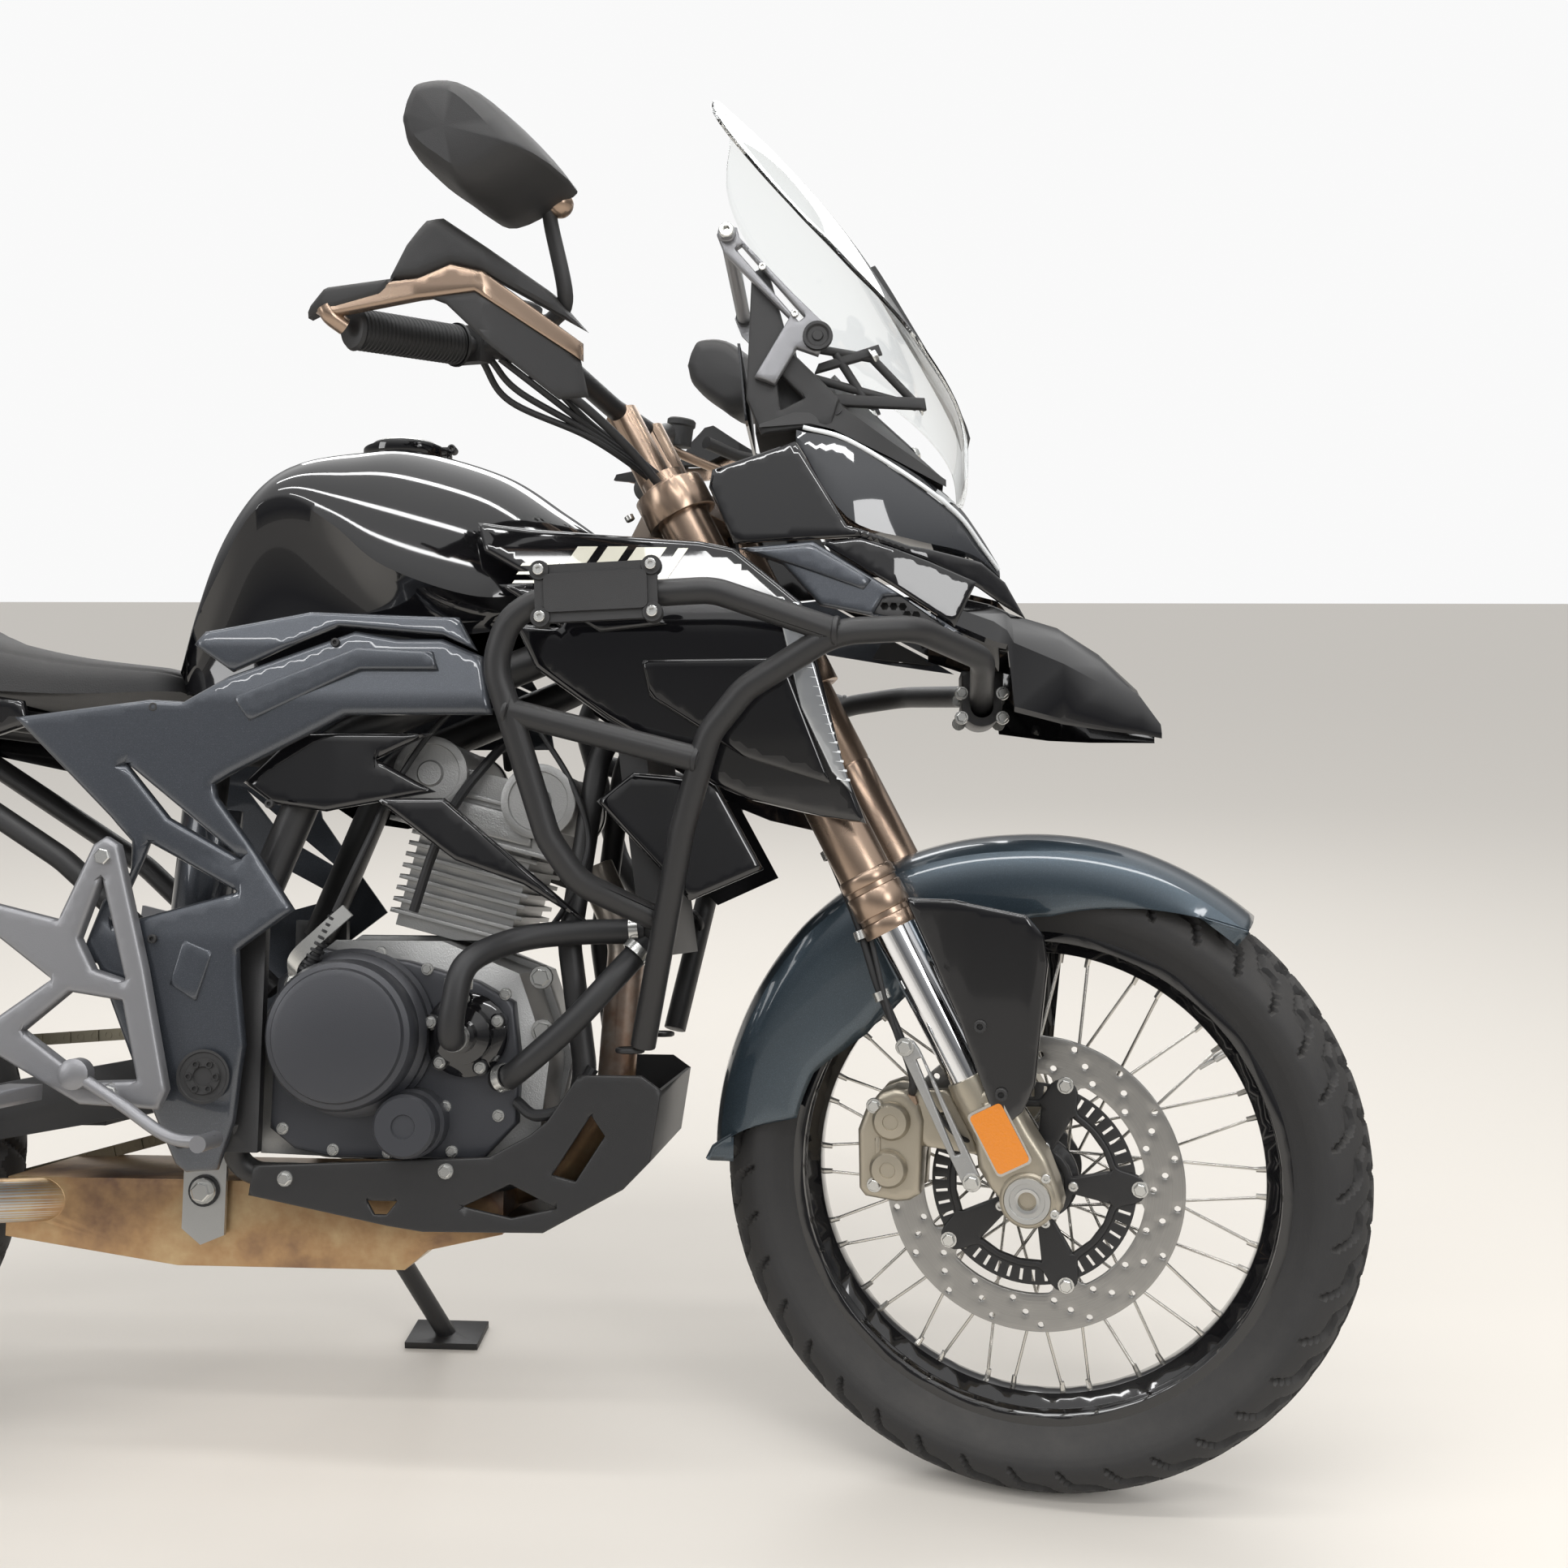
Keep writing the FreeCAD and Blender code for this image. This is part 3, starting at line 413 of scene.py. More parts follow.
def turned_rings():
    """Fine rings round an axle, as a machined disc has: noise of the distance from the axle's line."""
    tree, given, result = effect("Turned Rings", {"Vector": None, "Centre": None, "Axis": None},
                                 {"Fac": float, "Height": float})
    offset = vector_node(tree, "SUBTRACT", given.outputs["Vector"], given.outputs["Centre"])
    across = vector_node(tree, "CROSS_PRODUCT", offset.outputs[0], given.outputs["Axis"])
    radius = vector_node(tree, "LENGTH", across.outputs[0], (0, 0, 0)).outputs["Value"]
    line = tree.nodes.new("ShaderNodeCombineXYZ")
    tree.links.new(radius, line.inputs[0])
    rings = noise(tree, line.outputs[0], 900.0, detail=4.0, rough=0.7)
    tree.links.new(rings.outputs["Fac"], result.inputs["Fac"])
    tree.links.new(rings.outputs["Fac"], result.inputs["Height"])
    return tree


def cover_cells():
    """Seat vinyl: small cells as a height."""
    tree, given, result = effect("Cover Cells", {"Vector": None, "Scale": 420.0}, {"Height": float})
    cells = tree.nodes.new("ShaderNodeTexVoronoi")
    cells.feature = "DISTANCE_TO_EDGE"
    tree.links.new(given.outputs["Vector"], cells.inputs["Vector"])
    tree.links.new(given.outputs["Scale"], cells.inputs["Scale"])
    tree.links.new(cells.outputs["Distance"], result.inputs["Height"])
    return tree


def settled_dust():
    """Mask of the little dust that lies on faces turned up and in rough skins."""
    tree, given, result = effect("Settled Dust", {"Vector": None, "Amount": 0.15}, {"Mask": float})
    shape = tree.nodes.new("ShaderNodeNewGeometry")
    parts = tree.nodes.new("ShaderNodeSeparateXYZ")
    tree.links.new(shape.outputs["Normal"], parts.inputs[0])
    up = math_node(tree, "MAXIMUM", parts.outputs["Z"], 0.12)
    cloud = noise(tree, given.outputs["Vector"], 22.0, detail=6.0, rough=0.7)
    mask = math_node(tree, "MULTIPLY", math_node(tree, "MULTIPLY", up, cloud.outputs["Fac"]),
                     given.outputs["Amount"])
    tree.links.new(mask, result.inputs["Mask"])
    return tree


def place_effect(material, build):
    """The effect's node in a material, its group built once, fed with Object coordinates."""
    title = build.__name__.replace("_", " ").title()
    node = material.node_tree.nodes.new("ShaderNodeGroup")
    node.node_tree = bpy.data.node_groups.get(title) or build()
    if "Vector" in node.inputs:
        where = material.node_tree.nodes.new("ShaderNodeTexCoord")
        material.node_tree.links.new(where.outputs["Object"], node.inputs["Vector"])
    return node


def coat(name, colour, roughness, metallic=0.0, spread=0.0, grain=0.0, grain_scale=900.0, dust=0.0,
         **sockets):
    """Finish with one Principled BSDF, with drifting gloss, dust and a grain where asked for."""
    material = bpy.data.materials.new(name)
    material.use_nodes = True
    tree = material.node_tree
    shader = tree.nodes["Principled BSDF"]
    shader.inputs["Base Color"].default_value = (*colour, 1.0)
    shader.inputs["Roughness"].default_value = roughness
    shader.inputs["Metallic"].default_value = metallic
    for label, value in sockets.items():
        shader.inputs[label.replace("_", " ").title().replace("Ior", "IOR")].default_value = value
    if spread:
        node = place_effect(material, handled_gloss)
        node.inputs["Roughness"].default_value = roughness
        node.inputs["Spread"].default_value = spread
        tree.links.new(node.outputs["Roughness"], shader.inputs["Roughness"])
    if dust:
        node = place_effect(material, settled_dust)
        node.inputs["Amount"].default_value = dust
        dusty = blend_colour(tree, node.outputs["Mask"], colour, (0.42, 0.38, 0.32))
        tree.links.new(dusty, shader.inputs["Base Color"])
    if grain:
        raise_grain(material, fine_grain, strength=grain, scale=grain_scale)
    return material


def raise_grain(material, build, strength, scale):
    """An effect's height as a small bump."""
    tree = material.node_tree
    node = place_effect(material, build)
    if "Scale" in node.inputs:
        node.inputs["Scale"].default_value = scale
    bump = tree.nodes.new("ShaderNodeBump")
    bump.inputs["Strength"].default_value = strength
    bump.inputs["Distance"].default_value = 0.0006
    tree.links.new(node.outputs["Height"], bump.inputs["Height"])
    tree.links.new(bump.outputs["Normal"], tree.nodes["Principled BSDF"].inputs["Normal"])
    return node


def flaked(name, colour, roughness, metallic):
    """Metallic paint under a clear coat."""
    material = coat(name, colour, roughness=roughness, metallic=metallic, spread=0.05, coat_weight=0.9,
                    coat_roughness=0.05)
    node = place_effect(material, metal_flake)
    node.inputs["Color"].default_value = (*colour, 1.0)
    material.node_tree.links.new(node.outputs["Color"],
                                 material.node_tree.nodes["Principled BSDF"].inputs["Base Color"])
    return material


def stained(name, colour):
    """Thin steel stained by heat."""
    material = coat(name, colour, roughness=0.34, metallic=0.75, spread=0.3, grain=0.2, grain_scale=300.0)
    node = place_effect(material, heat_stains)
    material.node_tree.links.new(node.outputs["Color"],
                                 material.node_tree.nodes["Principled BSDF"].inputs["Base Color"])
    return material


def machined(name, colour, axle):
    """Disc steel with fine rings round its axle."""
    material = coat(name, colour, roughness=0.3, metallic=0.95)
    tree = material.node_tree
    node = raise_grain(material, turned_rings, strength=0.35, scale=0.0)
    node.inputs["Centre"].default_value = joint(axle)["pos_m"]
    node.inputs["Axis"].default_value = joint(axle)["axis"]
    bright = tuple(min(1.0, part * 1.35) for part in colour)
    shade = blend_colour(tree, node.outputs["Fac"], tuple(part * 0.7 for part in colour), bright)
    tree.links.new(shade, tree.nodes["Principled BSDF"].inputs["Base Color"])
    return material


def covered(name, colour):
    """Seat vinyl with small cells."""
    material = coat(name, colour, roughness=0.55, spread=0.12, dust=0.08)
    raise_grain(material, cover_cells, strength=0.5, scale=420.0)
    return material


PAINT = dict(coat_weight=0.7, coat_roughness=0.03)
FINISHES = {
    "Gloss Black Paint": lambda name: coat(name, (0.004, 0.004, 0.005), roughness=0.07, spread=0.04,
                                           dust=0.02, **PAINT),
    "Satin Graphite": lambda name: flaked(name, (0.05, 0.056, 0.067), roughness=0.38, metallic=0.6),
    "Slate Blue Metallic": lambda name: flaked(name, (0.04, 0.058, 0.074), roughness=0.3, metallic=0.6),
    "Black Powder Coat": lambda name: coat(name, (0.012, 0.012, 0.013), roughness=0.42, spread=0.1,
                                           grain=0.3, grain_scale=1500.0, dust=0.05),
    "Moulded Black": lambda name: coat(name, (0.016, 0.016, 0.017), roughness=0.55, spread=0.12, grain=0.35,
                                       grain_scale=1800.0, dust=0.08),
    "Cast Silver": lambda name: coat(name, (0.36, 0.36, 0.355), roughness=0.42, metallic=0.75, spread=0.2,
                                     grain=0.6, grain_scale=650.0),
    "Dark Cover Paint": lambda name: coat(name, (0.045, 0.047, 0.054), roughness=0.4, metallic=0.35,
                                          spread=0.1, grain=0.2, dust=0.06),
    "Satin Grey Casting": lambda name: coat(name, (0.24, 0.24, 0.25), roughness=0.38, metallic=0.6,
                                            spread=0.12, grain=0.2),
    "Bronze Anodised": lambda name: coat(name, (0.36, 0.265, 0.2), roughness=0.27, metallic=0.9, spread=0.1),
    "Champagne Alloy": lambda name: coat(name, (0.4, 0.36, 0.29), roughness=0.36, metallic=0.8, spread=0.1,
                                         grain=0.2, grain_scale=700.0),
    "Polished Tube": lambda name: coat(name, (0.78, 0.79, 0.81), roughness=0.06, metallic=1.0, spread=0.04),
    "Spoke Steel": lambda name: coat(name, (0.6, 0.58, 0.54), roughness=0.2, metallic=0.9),
    "Brushed Steel": lambda name: coat(name, (0.5, 0.5, 0.49), roughness=0.32, metallic=0.9, spread=0.2,
                                       grain=0.15),
    "Zinc Bolt": lambda name: coat(name, (0.62, 0.62, 0.6), roughness=0.25, metallic=0.9, spread=0.1),
    "Front Disc Steel": lambda name: machined(name, (0.33, 0.325, 0.315), "front_axle"),
    "Rear Disc Steel": lambda name: machined(name, (0.33, 0.325, 0.315), "rear_axle"),
    "Chain Steel": lambda name: coat(name, (0.3, 0.27, 0.2), roughness=0.4, metallic=0.8, spread=0.25),
    "Heat Bronze": lambda name: stained(name, (0.45, 0.3, 0.16)),
    "Tyre Rubber": lambda name: coat(name, (0.016, 0.016, 0.017), roughness=0.68, spread=0.15, grain=0.25,
                                     dust=0.14),
    "Hose Rubber": lambda name: coat(name, (0.012, 0.012, 0.013), roughness=0.5, spread=0.1),
    "Seat Cover": lambda name: covered(name, (0.016, 0.016, 0.017)),
    "Clear Screen": lambda name: coat(name, (0.95, 0.97, 0.965), roughness=0.0, transmission_weight=1.0,
                                      ior=1.03, coat_weight=1.0, coat_roughness=0.0),
    "Lamp Lens": lambda name: coat(name, (0.03, 0.032, 0.036), roughness=0.04, coat_weight=1.0,
                                   coat_roughness=0.0),
    "Lamp Strip": lambda name: coat(name, (0.5, 0.52, 0.54), roughness=0.06, metallic=0.7, coat_weight=1.0),
    "Lamp Guide": lambda name: coat(name, (0.75, 0.77, 0.78), roughness=0.12, coat_weight=1.0),
    "Tail Lens": lambda name: coat(name, (0.35, 0.01, 0.01), roughness=0.08, coat_weight=1.0),
    "Amber Reflector": lambda name: coat(name, (0.62, 0.19, 0.005), roughness=0.12, coat_weight=1.0,
                                         grain=0.8, grain_scale=420.0),
    "Cream Print": lambda name: coat(name, (0.62, 0.6, 0.5), roughness=0.3, coat_weight=0.6),
}


def finish(name):
    """The finish of that name, built when a piece first asks for it."""
    return bpy.data.materials.get(name) or FINISHES[name](name)


NODE_FINISH = {
    "main_frame": "Black Powder Coat", "subframe": "Black Powder Coat", "crankcase": "Cast Silver",
    "cylinder_head": "Cast Silver", "radiator": "Moulded Black", "crash_bars": "Black Powder Coat",
    "exhaust": "Heat Bronze", "swingarm": "Black Powder Coat", "rear_shock": "Black Powder Coat",
    "rear_fender": "Moulded Black", "triple_clamps": "Bronze Anodised", "handlebar": "Black Powder Coat",
    "front_rim": "Gloss Black Paint", "front_hub": "Black Powder Coat", "rear_rim": "Gloss Black Paint",
    "rear_hub": "Black Powder Coat", "rear_sprocket": "Brushed Steel", "side_stand": "Black Powder Coat",
    "fuel_cap": "Black Powder Coat",
}
STEERED = {"triple_clamps", "handlebar", "front_hub", "front_rim"}


def from_axle(x, z, axle):
    """Side-view distance from an axle."""
    return np.hypot(x - axle[0], z - axle[2])


# Second finishes of a node: each takes the faces whose middles its test picks
SECOND_FINISH = {
    "front_hub": [("Spoke Steel", lambda x, y, z: from_axle(x, z, FRONT_AXLE) > 45)],
    "rear_hub": [("Spoke Steel", lambda x, y, z: from_axle(x, z, REAR_AXLE) > 53)],
    "handlebar": [("Bronze Anodised", lambda x, y, z: (abs(y) < 64) & (z < 1118))],
    "exhaust": [("Brushed Steel", lambda x, y, z: (x > 284) & (abs(y) > 120)),
                ("Black Powder Coat", lambda x, y, z: (x < 284) & (y < -128))],
    "rear_shock": [("Satin Graphite", lambda x, y, z: (np.hypot(x - 508, y) > 20) & (z < 710))],
    "cylinder_head": [("Satin Grey Casting", lambda x, y, z: abs(y) > 94.5)],
}


def paint(item, place, choices):
    """Give the faces that each test picks by their middles a finish of their own."""
    mesh = item.data
    middles = np.empty(len(mesh.polygons) * 3)
    mesh.polygons.foreach_get("center", middles)
    x, y, z = from_row(middles.reshape(-1, 3), place).T
    slots = np.zeros(len(mesh.polygons), np.int32)
    for name, test in choices:
        mesh.materials.append(finish(name))
        slots[test(x, y, z)] = len(mesh.materials) - 1
    mesh.polygons.foreach_set("material_index", slots)


def dress(node, name, round_over=0.6):
    """Give a CAD node its finishes, merge its loose triangles and round its edges."""
    item = frame["nodes"][node]
    item.data.materials.clear()
    item.data.materials.append(finish(name))
    if SECOND_FINISH.get(node):
        paint(item, STEERING if node in STEERED else CHASSIS, SECOND_FINISH[node])
    item.data.shade_smooth()
    weld = item.modifiers.new("Weld", "WELD")
    weld.merge_threshold = 1e-5
    flat = item.modifiers.new("Flat faces", "DECIMATE")
    flat.decimate_type = "DISSOLVE"
    flat.angle_limit = math.radians(0.6)
    flat.delimit = {"MATERIAL"}
    edge = item.modifiers.new("Rounded edges", "BEVEL")
    edge.width = round_over * MM
    edge.segments = 2
    edge.limit_method = "ANGLE"
    edge.angle_limit = math.radians(38)
    edge.harden_normals = True
    edge.use_clamp_overlap = False


# Shells and castings that stand for the plain solids

def divided(loop, step):
    """Closed outline with more points along its longer edges."""
    loop = np.asarray(loop, float)
    run = np.roll(loop, -1, 0) - loop
    counts = np.maximum(1, np.ceil(np.linalg.norm(run, axis=1) / step)).astype(int)
    share = np.concatenate([np.arange(count) / count for count in counts])[:, None]
    return np.repeat(loop, counts, 0) + np.repeat(run, counts, 0) * share


def edge_distance(spots, loops):
    """Distance from each side-view point to the nearest edge of the closed outlines."""
    best = np.full(len(spots), 1e9)
    for loop in loops:
        for start, run in zip(loop, np.roll(loop, -1, 0) - loop):
            share = np.clip((spots - start) @ run / (run @ run), 0, 1)
            best = np.minimum(best, np.linalg.norm(spots - start - share[:, None] * run, axis=1))
    return best


def by_height(profile):
    """Distance from the middle plane, read from a profile of (side, height) points."""
    sides, heights = zip(*profile)
    return lambda x, z: np.interp(z, heights, sides)


def by_length(plan):
    """Distance from the middle plane, read from a plan of (length, side) points."""
    lengths, sides = zip(*plan)
    return lambda x, z: np.interp(x, lengths, sides)


def panel(outline, side, depth=5.0, roll=5.0, holes=(), step=7.0):
    """Panel or casting of the right side, as points and faces.

    Its side view is filled with grid points and with rows beside the edges. The face lies at side(x, z) from
    the middle plane and falls away in a quarter round over the last stretch before each edge. A wall and a
    back close it.
    """
    loops = [divided(loop, step) for loop in (outline, *holes)]
    border = np.concatenate(loops)
    starts = np.cumsum([0] + [len(loop) for loop in loops])
    edges = [(start + i, start + (i + 1) % len(loop)) for start, loop in zip(starts, loops)
             for i in range(len(loop))]
    along = np.concatenate([np.roll(loop, -1, 0) - np.roll(loop, 1, 0) for loop in loops])
    across = np.stack([-along[:, 1], along[:, 0]], 1) / np.linalg.norm(along, axis=1, keepdims=True)

    def filled(spots):
        kept = inside(spots[:, 0], spots[:, 1], list(outline))
        for hole in holes:
            kept &= ~inside(spots[:, 0], spots[:, 1], list(hole))
        return kept

    spots = [border]
    for reach in (0.15 * roll, 0.5 * roll, roll):
        for hand in (1, -1):
            row = border + hand * reach * across
            spots.append(row[filled(row) & (edge_distance(row, loops) > 0.92 * reach)])
    u, v = np.meshgrid(np.arange(*np.sort([border[:, 0].min(), border[:, 0].max()]), step),
                       np.arange(*np.sort([border[:, 1].min(), border[:, 1].max()]), step))
    grid = np.stack([u.ravel(), v.ravel()], 1)
    spots.append(grid[filled(grid) & (edge_distance(grid, loops) > roll + 0.45 * step)])
    spots = [Vector(spot) for spot in np.concatenate(spots)]
    result = delaunay_2d_cdt(spots, edges, [], 0, 1e-4)
    flat, faces = np.array(result[0]), np.array(result[2])
    faces = faces[filled(flat[faces].mean(1))]
    near = np.clip(edge_distance(flat, loops) / roll, 0, 1)
    drop = min(roll, 0.8 * depth) * (1 - np.sqrt(1 - (1 - near)**2))
    level = side(flat[:, 0], flat[:, 1]) if callable(side) else np.full(len(flat), side, float)
    front = np.stack([flat[:, 0], drop - level, flat[:, 1]], 1)
    back = np.stack([flat[:, 0], depth - level, flat[:, 1]], 1)
    sides = np.concatenate([faces[:, [0, 1]], faces[:, [1, 2]], faces[:, [2, 0]]])
    first, count = np.unique(np.sort(sides, 1), axis=0, return_index=True, return_counts=True)[1:]
    rim = sides[first[count == 1]]
    wall = np.concatenate([rim, rim[:, ::-1] + len(flat)], 1)
    return np.concatenate([front, back]), faces.tolist() + (faces + len(flat)).tolist() + wall.tolist()


def flipped(shape):
    """The same shape on the left side."""
    return (other_side(shape[0]), shape[1]) if isinstance(shape, tuple) else other_side(shape)


def pair(*shapes):
    """The shapes and their likes on the left side."""
    return list(shapes) + [flipped(shape) for shape in shapes]


def ahead(points, start=WHEELBASE):
    """Side-view or plan points measured from the front axle's length."""
    return [(start + first, second) for first, second in points]


def arc_loop(radius, count=90, centre=(0, 0)):
    """Circle as a closed side-view outline."""
    turn = np.arange(count) * 2 * math.pi / count
    return list(zip(centre[0] + radius * np.cos(turn), centre[1] + radius * np.sin(turn)))


def lobed(radius, lobe, width, count=5, points=180):
    """Circle with evenly spaced lobes that reach in or out."""
    turn = np.arange(points) * 2 * math.pi / points
    pitch = 2 * math.pi / count
    off = np.abs((turn + pitch / 2) % pitch - pitch / 2) * abs(radius)
    reach = radius + lobe * np.exp(-(off / width)**4)
    return list(zip(reach * np.cos(turn), reach * np.sin(turn)))


def shifted(loop, centre):
    """Outline about the origin moved to a point of the machine."""
    return [(u + centre[0], v + centre[2]) for u, v in loop]


def brake_disc(name, axle, side, outer, inner, hub, place, body, steel):
    """Drilled rotor with ears, and its black carrier with five arms and a slotted signal ring."""
    holes = [shifted(lobed(inner, lobe=-19, width=13), axle)]
    middle = (axle[0], axle[2])
    for row in range(3):
        radius = inner + 7 + (outer - inner - 14) / 2 * row
        turns = [math.radians(20 * i + 6.5 * row) for i in range(18)]
        holes += [arc_loop(3.3, 10, spot) for spot in round_spots(middle, radius, turns)]
    rotor = panel(shifted(arc_loop(outer, 150), axle), side + 2.5, depth=5, roll=0.6, holes=holes, step=7)
    disc = make_piece(name + "_rotor", [rotor], place, body, finish(steel))
    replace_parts(disc, name + "_disc")
    windows = []
    for i in range(5):
        turns = np.radians(72 * i + 36 + np.array([-24, -8, 8, 24]))
        windows.append(round_spots(middle, inner - 33, turns) + round_spots(middle, hub + 9, turns[::-1]))
    carrier = panel(shifted(lobed(inner - 27, lobe=26, width=15), axle), side + 3.5, depth=6, roll=2,
                    holes=[shifted(arc_loop(hub, 60), axle)] + windows, step=6)
    slots = []
    for i in range(48):
        turn = math.radians(7.5 * i)
        low, high = (turn - 0.018, turn + 0.018), (turn - 0.016, turn + 0.016)
        near, far = round_spots(middle, inner - 24, low), round_spots(middle, inner - 12, high)
        slots.append([near[0], *far, near[1]])
    signal = panel(shifted(arc_loop(inner - 9, 120), axle), side + 1.5, depth=2.4, roll=0.4,
                   holes=[shifted(arc_loop(inner - 27, 90), axle)] + slots, step=6)
    make_piece(name + "_disc_carrier", [carrier, signal], place, body, finish("Black Powder Coat"))


def on_leg(length, side):
    """Point on the fork leg's line at a height above the axle and a side."""
    return FRONT_AXLE + LEG * length + (0, side, 0)


def fork_forms():
    """Axle castings, polished tubes, outer tubes with grooved collars, guards, mudguard and caliper."""
    casting = [(-55, 99), (-38, 107), (-20, 105), (2, 66), (19, 40), (29, 14), (34, -6), (26, -17),
               (11, -24), (-8, -22), (-20, -9), (-36, 8), (-48, 28)]
    boss = lathe([(16, -46), (27, -44), (27, 0), (25, 2), (23, 2), (22, 0.5), (8, 0.5), (8, -10)],
                 FRONT_AXLE + (0, -LEG_SIDE - 25, 0), OUTWARD, sides=48)
    sleeve = lathe([(20, 60), (24.5, 62), (24.5, 118), (23, 128), (20, 129)], on_leg(0, -LEG_SIDE), LEG,
                   sides=40)
    rib = panel(shifted([(-44, 92), (-30, 96), (-6, 40), (-16, 32)], FRONT_AXLE), 123, depth=6, roll=2.5)
    shapes = pair(panel(shifted(casting, FRONT_AXLE), 120, depth=44, roll=7), boss, sleeve, rib)
    shapes.append(lathe([(9.9, -108), (9.9, 108)], FRONT_AXLE, (0, 1, 0), sides=24))
    shapes += pair(lathe([(10, 0), (16, 0), (16, 21), (10, 21)], FRONT_AXLE - (0, 57, 0), OUTWARD, sides=24))
    legs = on_fork("axle_castings", shapes, "Champagne Alloy")
    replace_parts(legs, "fork_legs")
    inner = lathe([(20.5, 60), (20.5, 352)], on_leg(0, -LEG_SIDE), LEG, sides=48)
    on_fork("polished_tubes", pair(inner), "Polished Tube")
    collar = [(20.7, 292), (24, 290), (28.4, 290), (29, 291), (29, 303), (28.4, 304), (27.2, 304.6),
              (27.2, 309.4), (28.4, 310), (29, 311), (29, 333), (28.4, 334), (27.2, 334.6), (27.2, 339.4),
              (28.4, 340), (29, 341), (29, 349), (28, 352), (27, 353), (27, 470), (26.4, 471), (26.4, 474),
              (27, 475), (27, 799), (22, 800), (22, 810), (0, 811)]
    tubes = on_fork("outer_tubes", pair(lathe(collar, on_leg(0, -LEG_SIDE), LEG, sides=56)),
                    "Bronze Anodised")
    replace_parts(tubes, "fork_tubes")
    edge = [(1289, 619), (1340, 619), (1410, 605), (1426, 585), (1430, 556), (1424, 500), (1418, 441),
            (1406, 415), (1386, 397), (1376, 402), (1374, 420), (1345, 500), (1318, 560)]
    guard = panel(edge, by_length([(1280, 112), (1328, 125), (1352, 127.5), (1414, 124.6), (1436, 112)]),
                  depth=4.5, roll=4, step=6)
    guards = on_fork("guard_shells", pair(guard), "Gloss Black Paint")
    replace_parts(guards, "fork_guards")
    mudguard()
    caliper()


def mudguard():
    """Mudguard as one surface round the axle: a ridged section whose flanks end at the side view's edge."""
    turn = np.linspace(178.5, 51, 110)
    swell = np.interp(turn, [50, 72, 94, 114, 134, 156, 179], [4, 8, 9, 13, 12, 5, 0])
    foot = np.interp(turn, [44, 55, 70, 86, 90, 107, 118, 126, 139, 146, 155, 167, 172, 176, 179],
                     [345, 322, 296, 270, 268, 246, 236, 224, 222, 230, 246, 248, 300, 330, 338])
    crown = FRONT_RADIUS + 11 + swell
    share = np.array([0, 0.25, 0.5, 0.75, 1.0])
    flank = foot[:, None] + (np.maximum(crown - 44, foot + 1) - foot)[:, None] * share
    top = crown[:, None] - np.array([28, 15, 9, 4, 1.6, 0])[None]
    half_r = np.concatenate([flank, top], 1)
    half_y = np.array([64, 65, 66, 66, 66, 64, 58, 50, 35, 16, 0.0])
    reach = np.concatenate([half_r, half_r[:, -2::-1]], 1)
    side = np.concatenate([-half_y, half_y[-2::-1]])
    angle = np.radians(turn)[:, None] + 0 * reach
    grid = np.stack([reach * np.cos(angle), np.broadcast_to(side, reach.shape), reach * np.sin(angle)],
                    -1) + FRONT_AXLE
    guard = on_fork("mudguard_shell", [grid], "Slate Blue Metallic", crease=24)
    thicken(guard, 3)
    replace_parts(guard, "front_mudguard")


def thicken(item, wall, offset=-1):
    """Wall of the given thickness behind a surface."""
    skin = item.modifiers.new("Wall", "SOLIDIFY")
    skin.thickness = wall * MM
    skin.offset = offset
    return item


def caliper():
    """Two-piston caliper in halves on each side of the disc, its bridge, bracket, cover bolts and stay."""
    edge = [(1260, 421), (1276, 427), (1289, 426), (1302, 410), (1306, 395), (1301, 321), (1290, 314),
            (1277, 312), (1245, 316), (1239, 324), (1238, 383), (1246, 404)]
    bridge = [(1238, 330), (1251, 330), (1256, 392), (1242, 392)]
    window = [(1257, 340), (1262, 336), (1262, 378), (1256, 376)]
    shapes = [panel(edge, 94, depth=33, roll=7, step=5), panel(edge, 46, depth=18, roll=4),
              panel(bridge, 66, depth=24, roll=2), panel(window, 96, depth=4, roll=1.5)]
    for x, z in ((1273, 394), (1270, 346)):
        shapes.append(lathe([(20, -4), (19, 5), (16, 8.5), (8, 9), (7.4, 7.6), (0, 7.6)], (x, -93, z),
                            OUTWARD, sides=36))
    shapes.append(panel([(1292, 425), (1330, 427), (1354, 381), (1361, 363), (1304, 369)], 90, depth=9,
                        roll=2.5, holes=[arc_loop(6, 16, (1325, 398))]))
    piece = on_fork("caliper_body", shapes, "Champagne Alloy")
    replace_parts(piece, "front_caliper")
    stay = panel([(1285, 474), (1291, 481), (1300, 480), (1306, 472), (1364, 352), (1366, 342), (1358, 335),
                  (1350, 338)], 125.6, depth=5, roll=1.5,
                 holes=[[(1303, 462), (1308, 464), (1346, 372), (1341, 370)]], step=4)
    on_fork("caliper_stay", [stay], "Cast Silver")


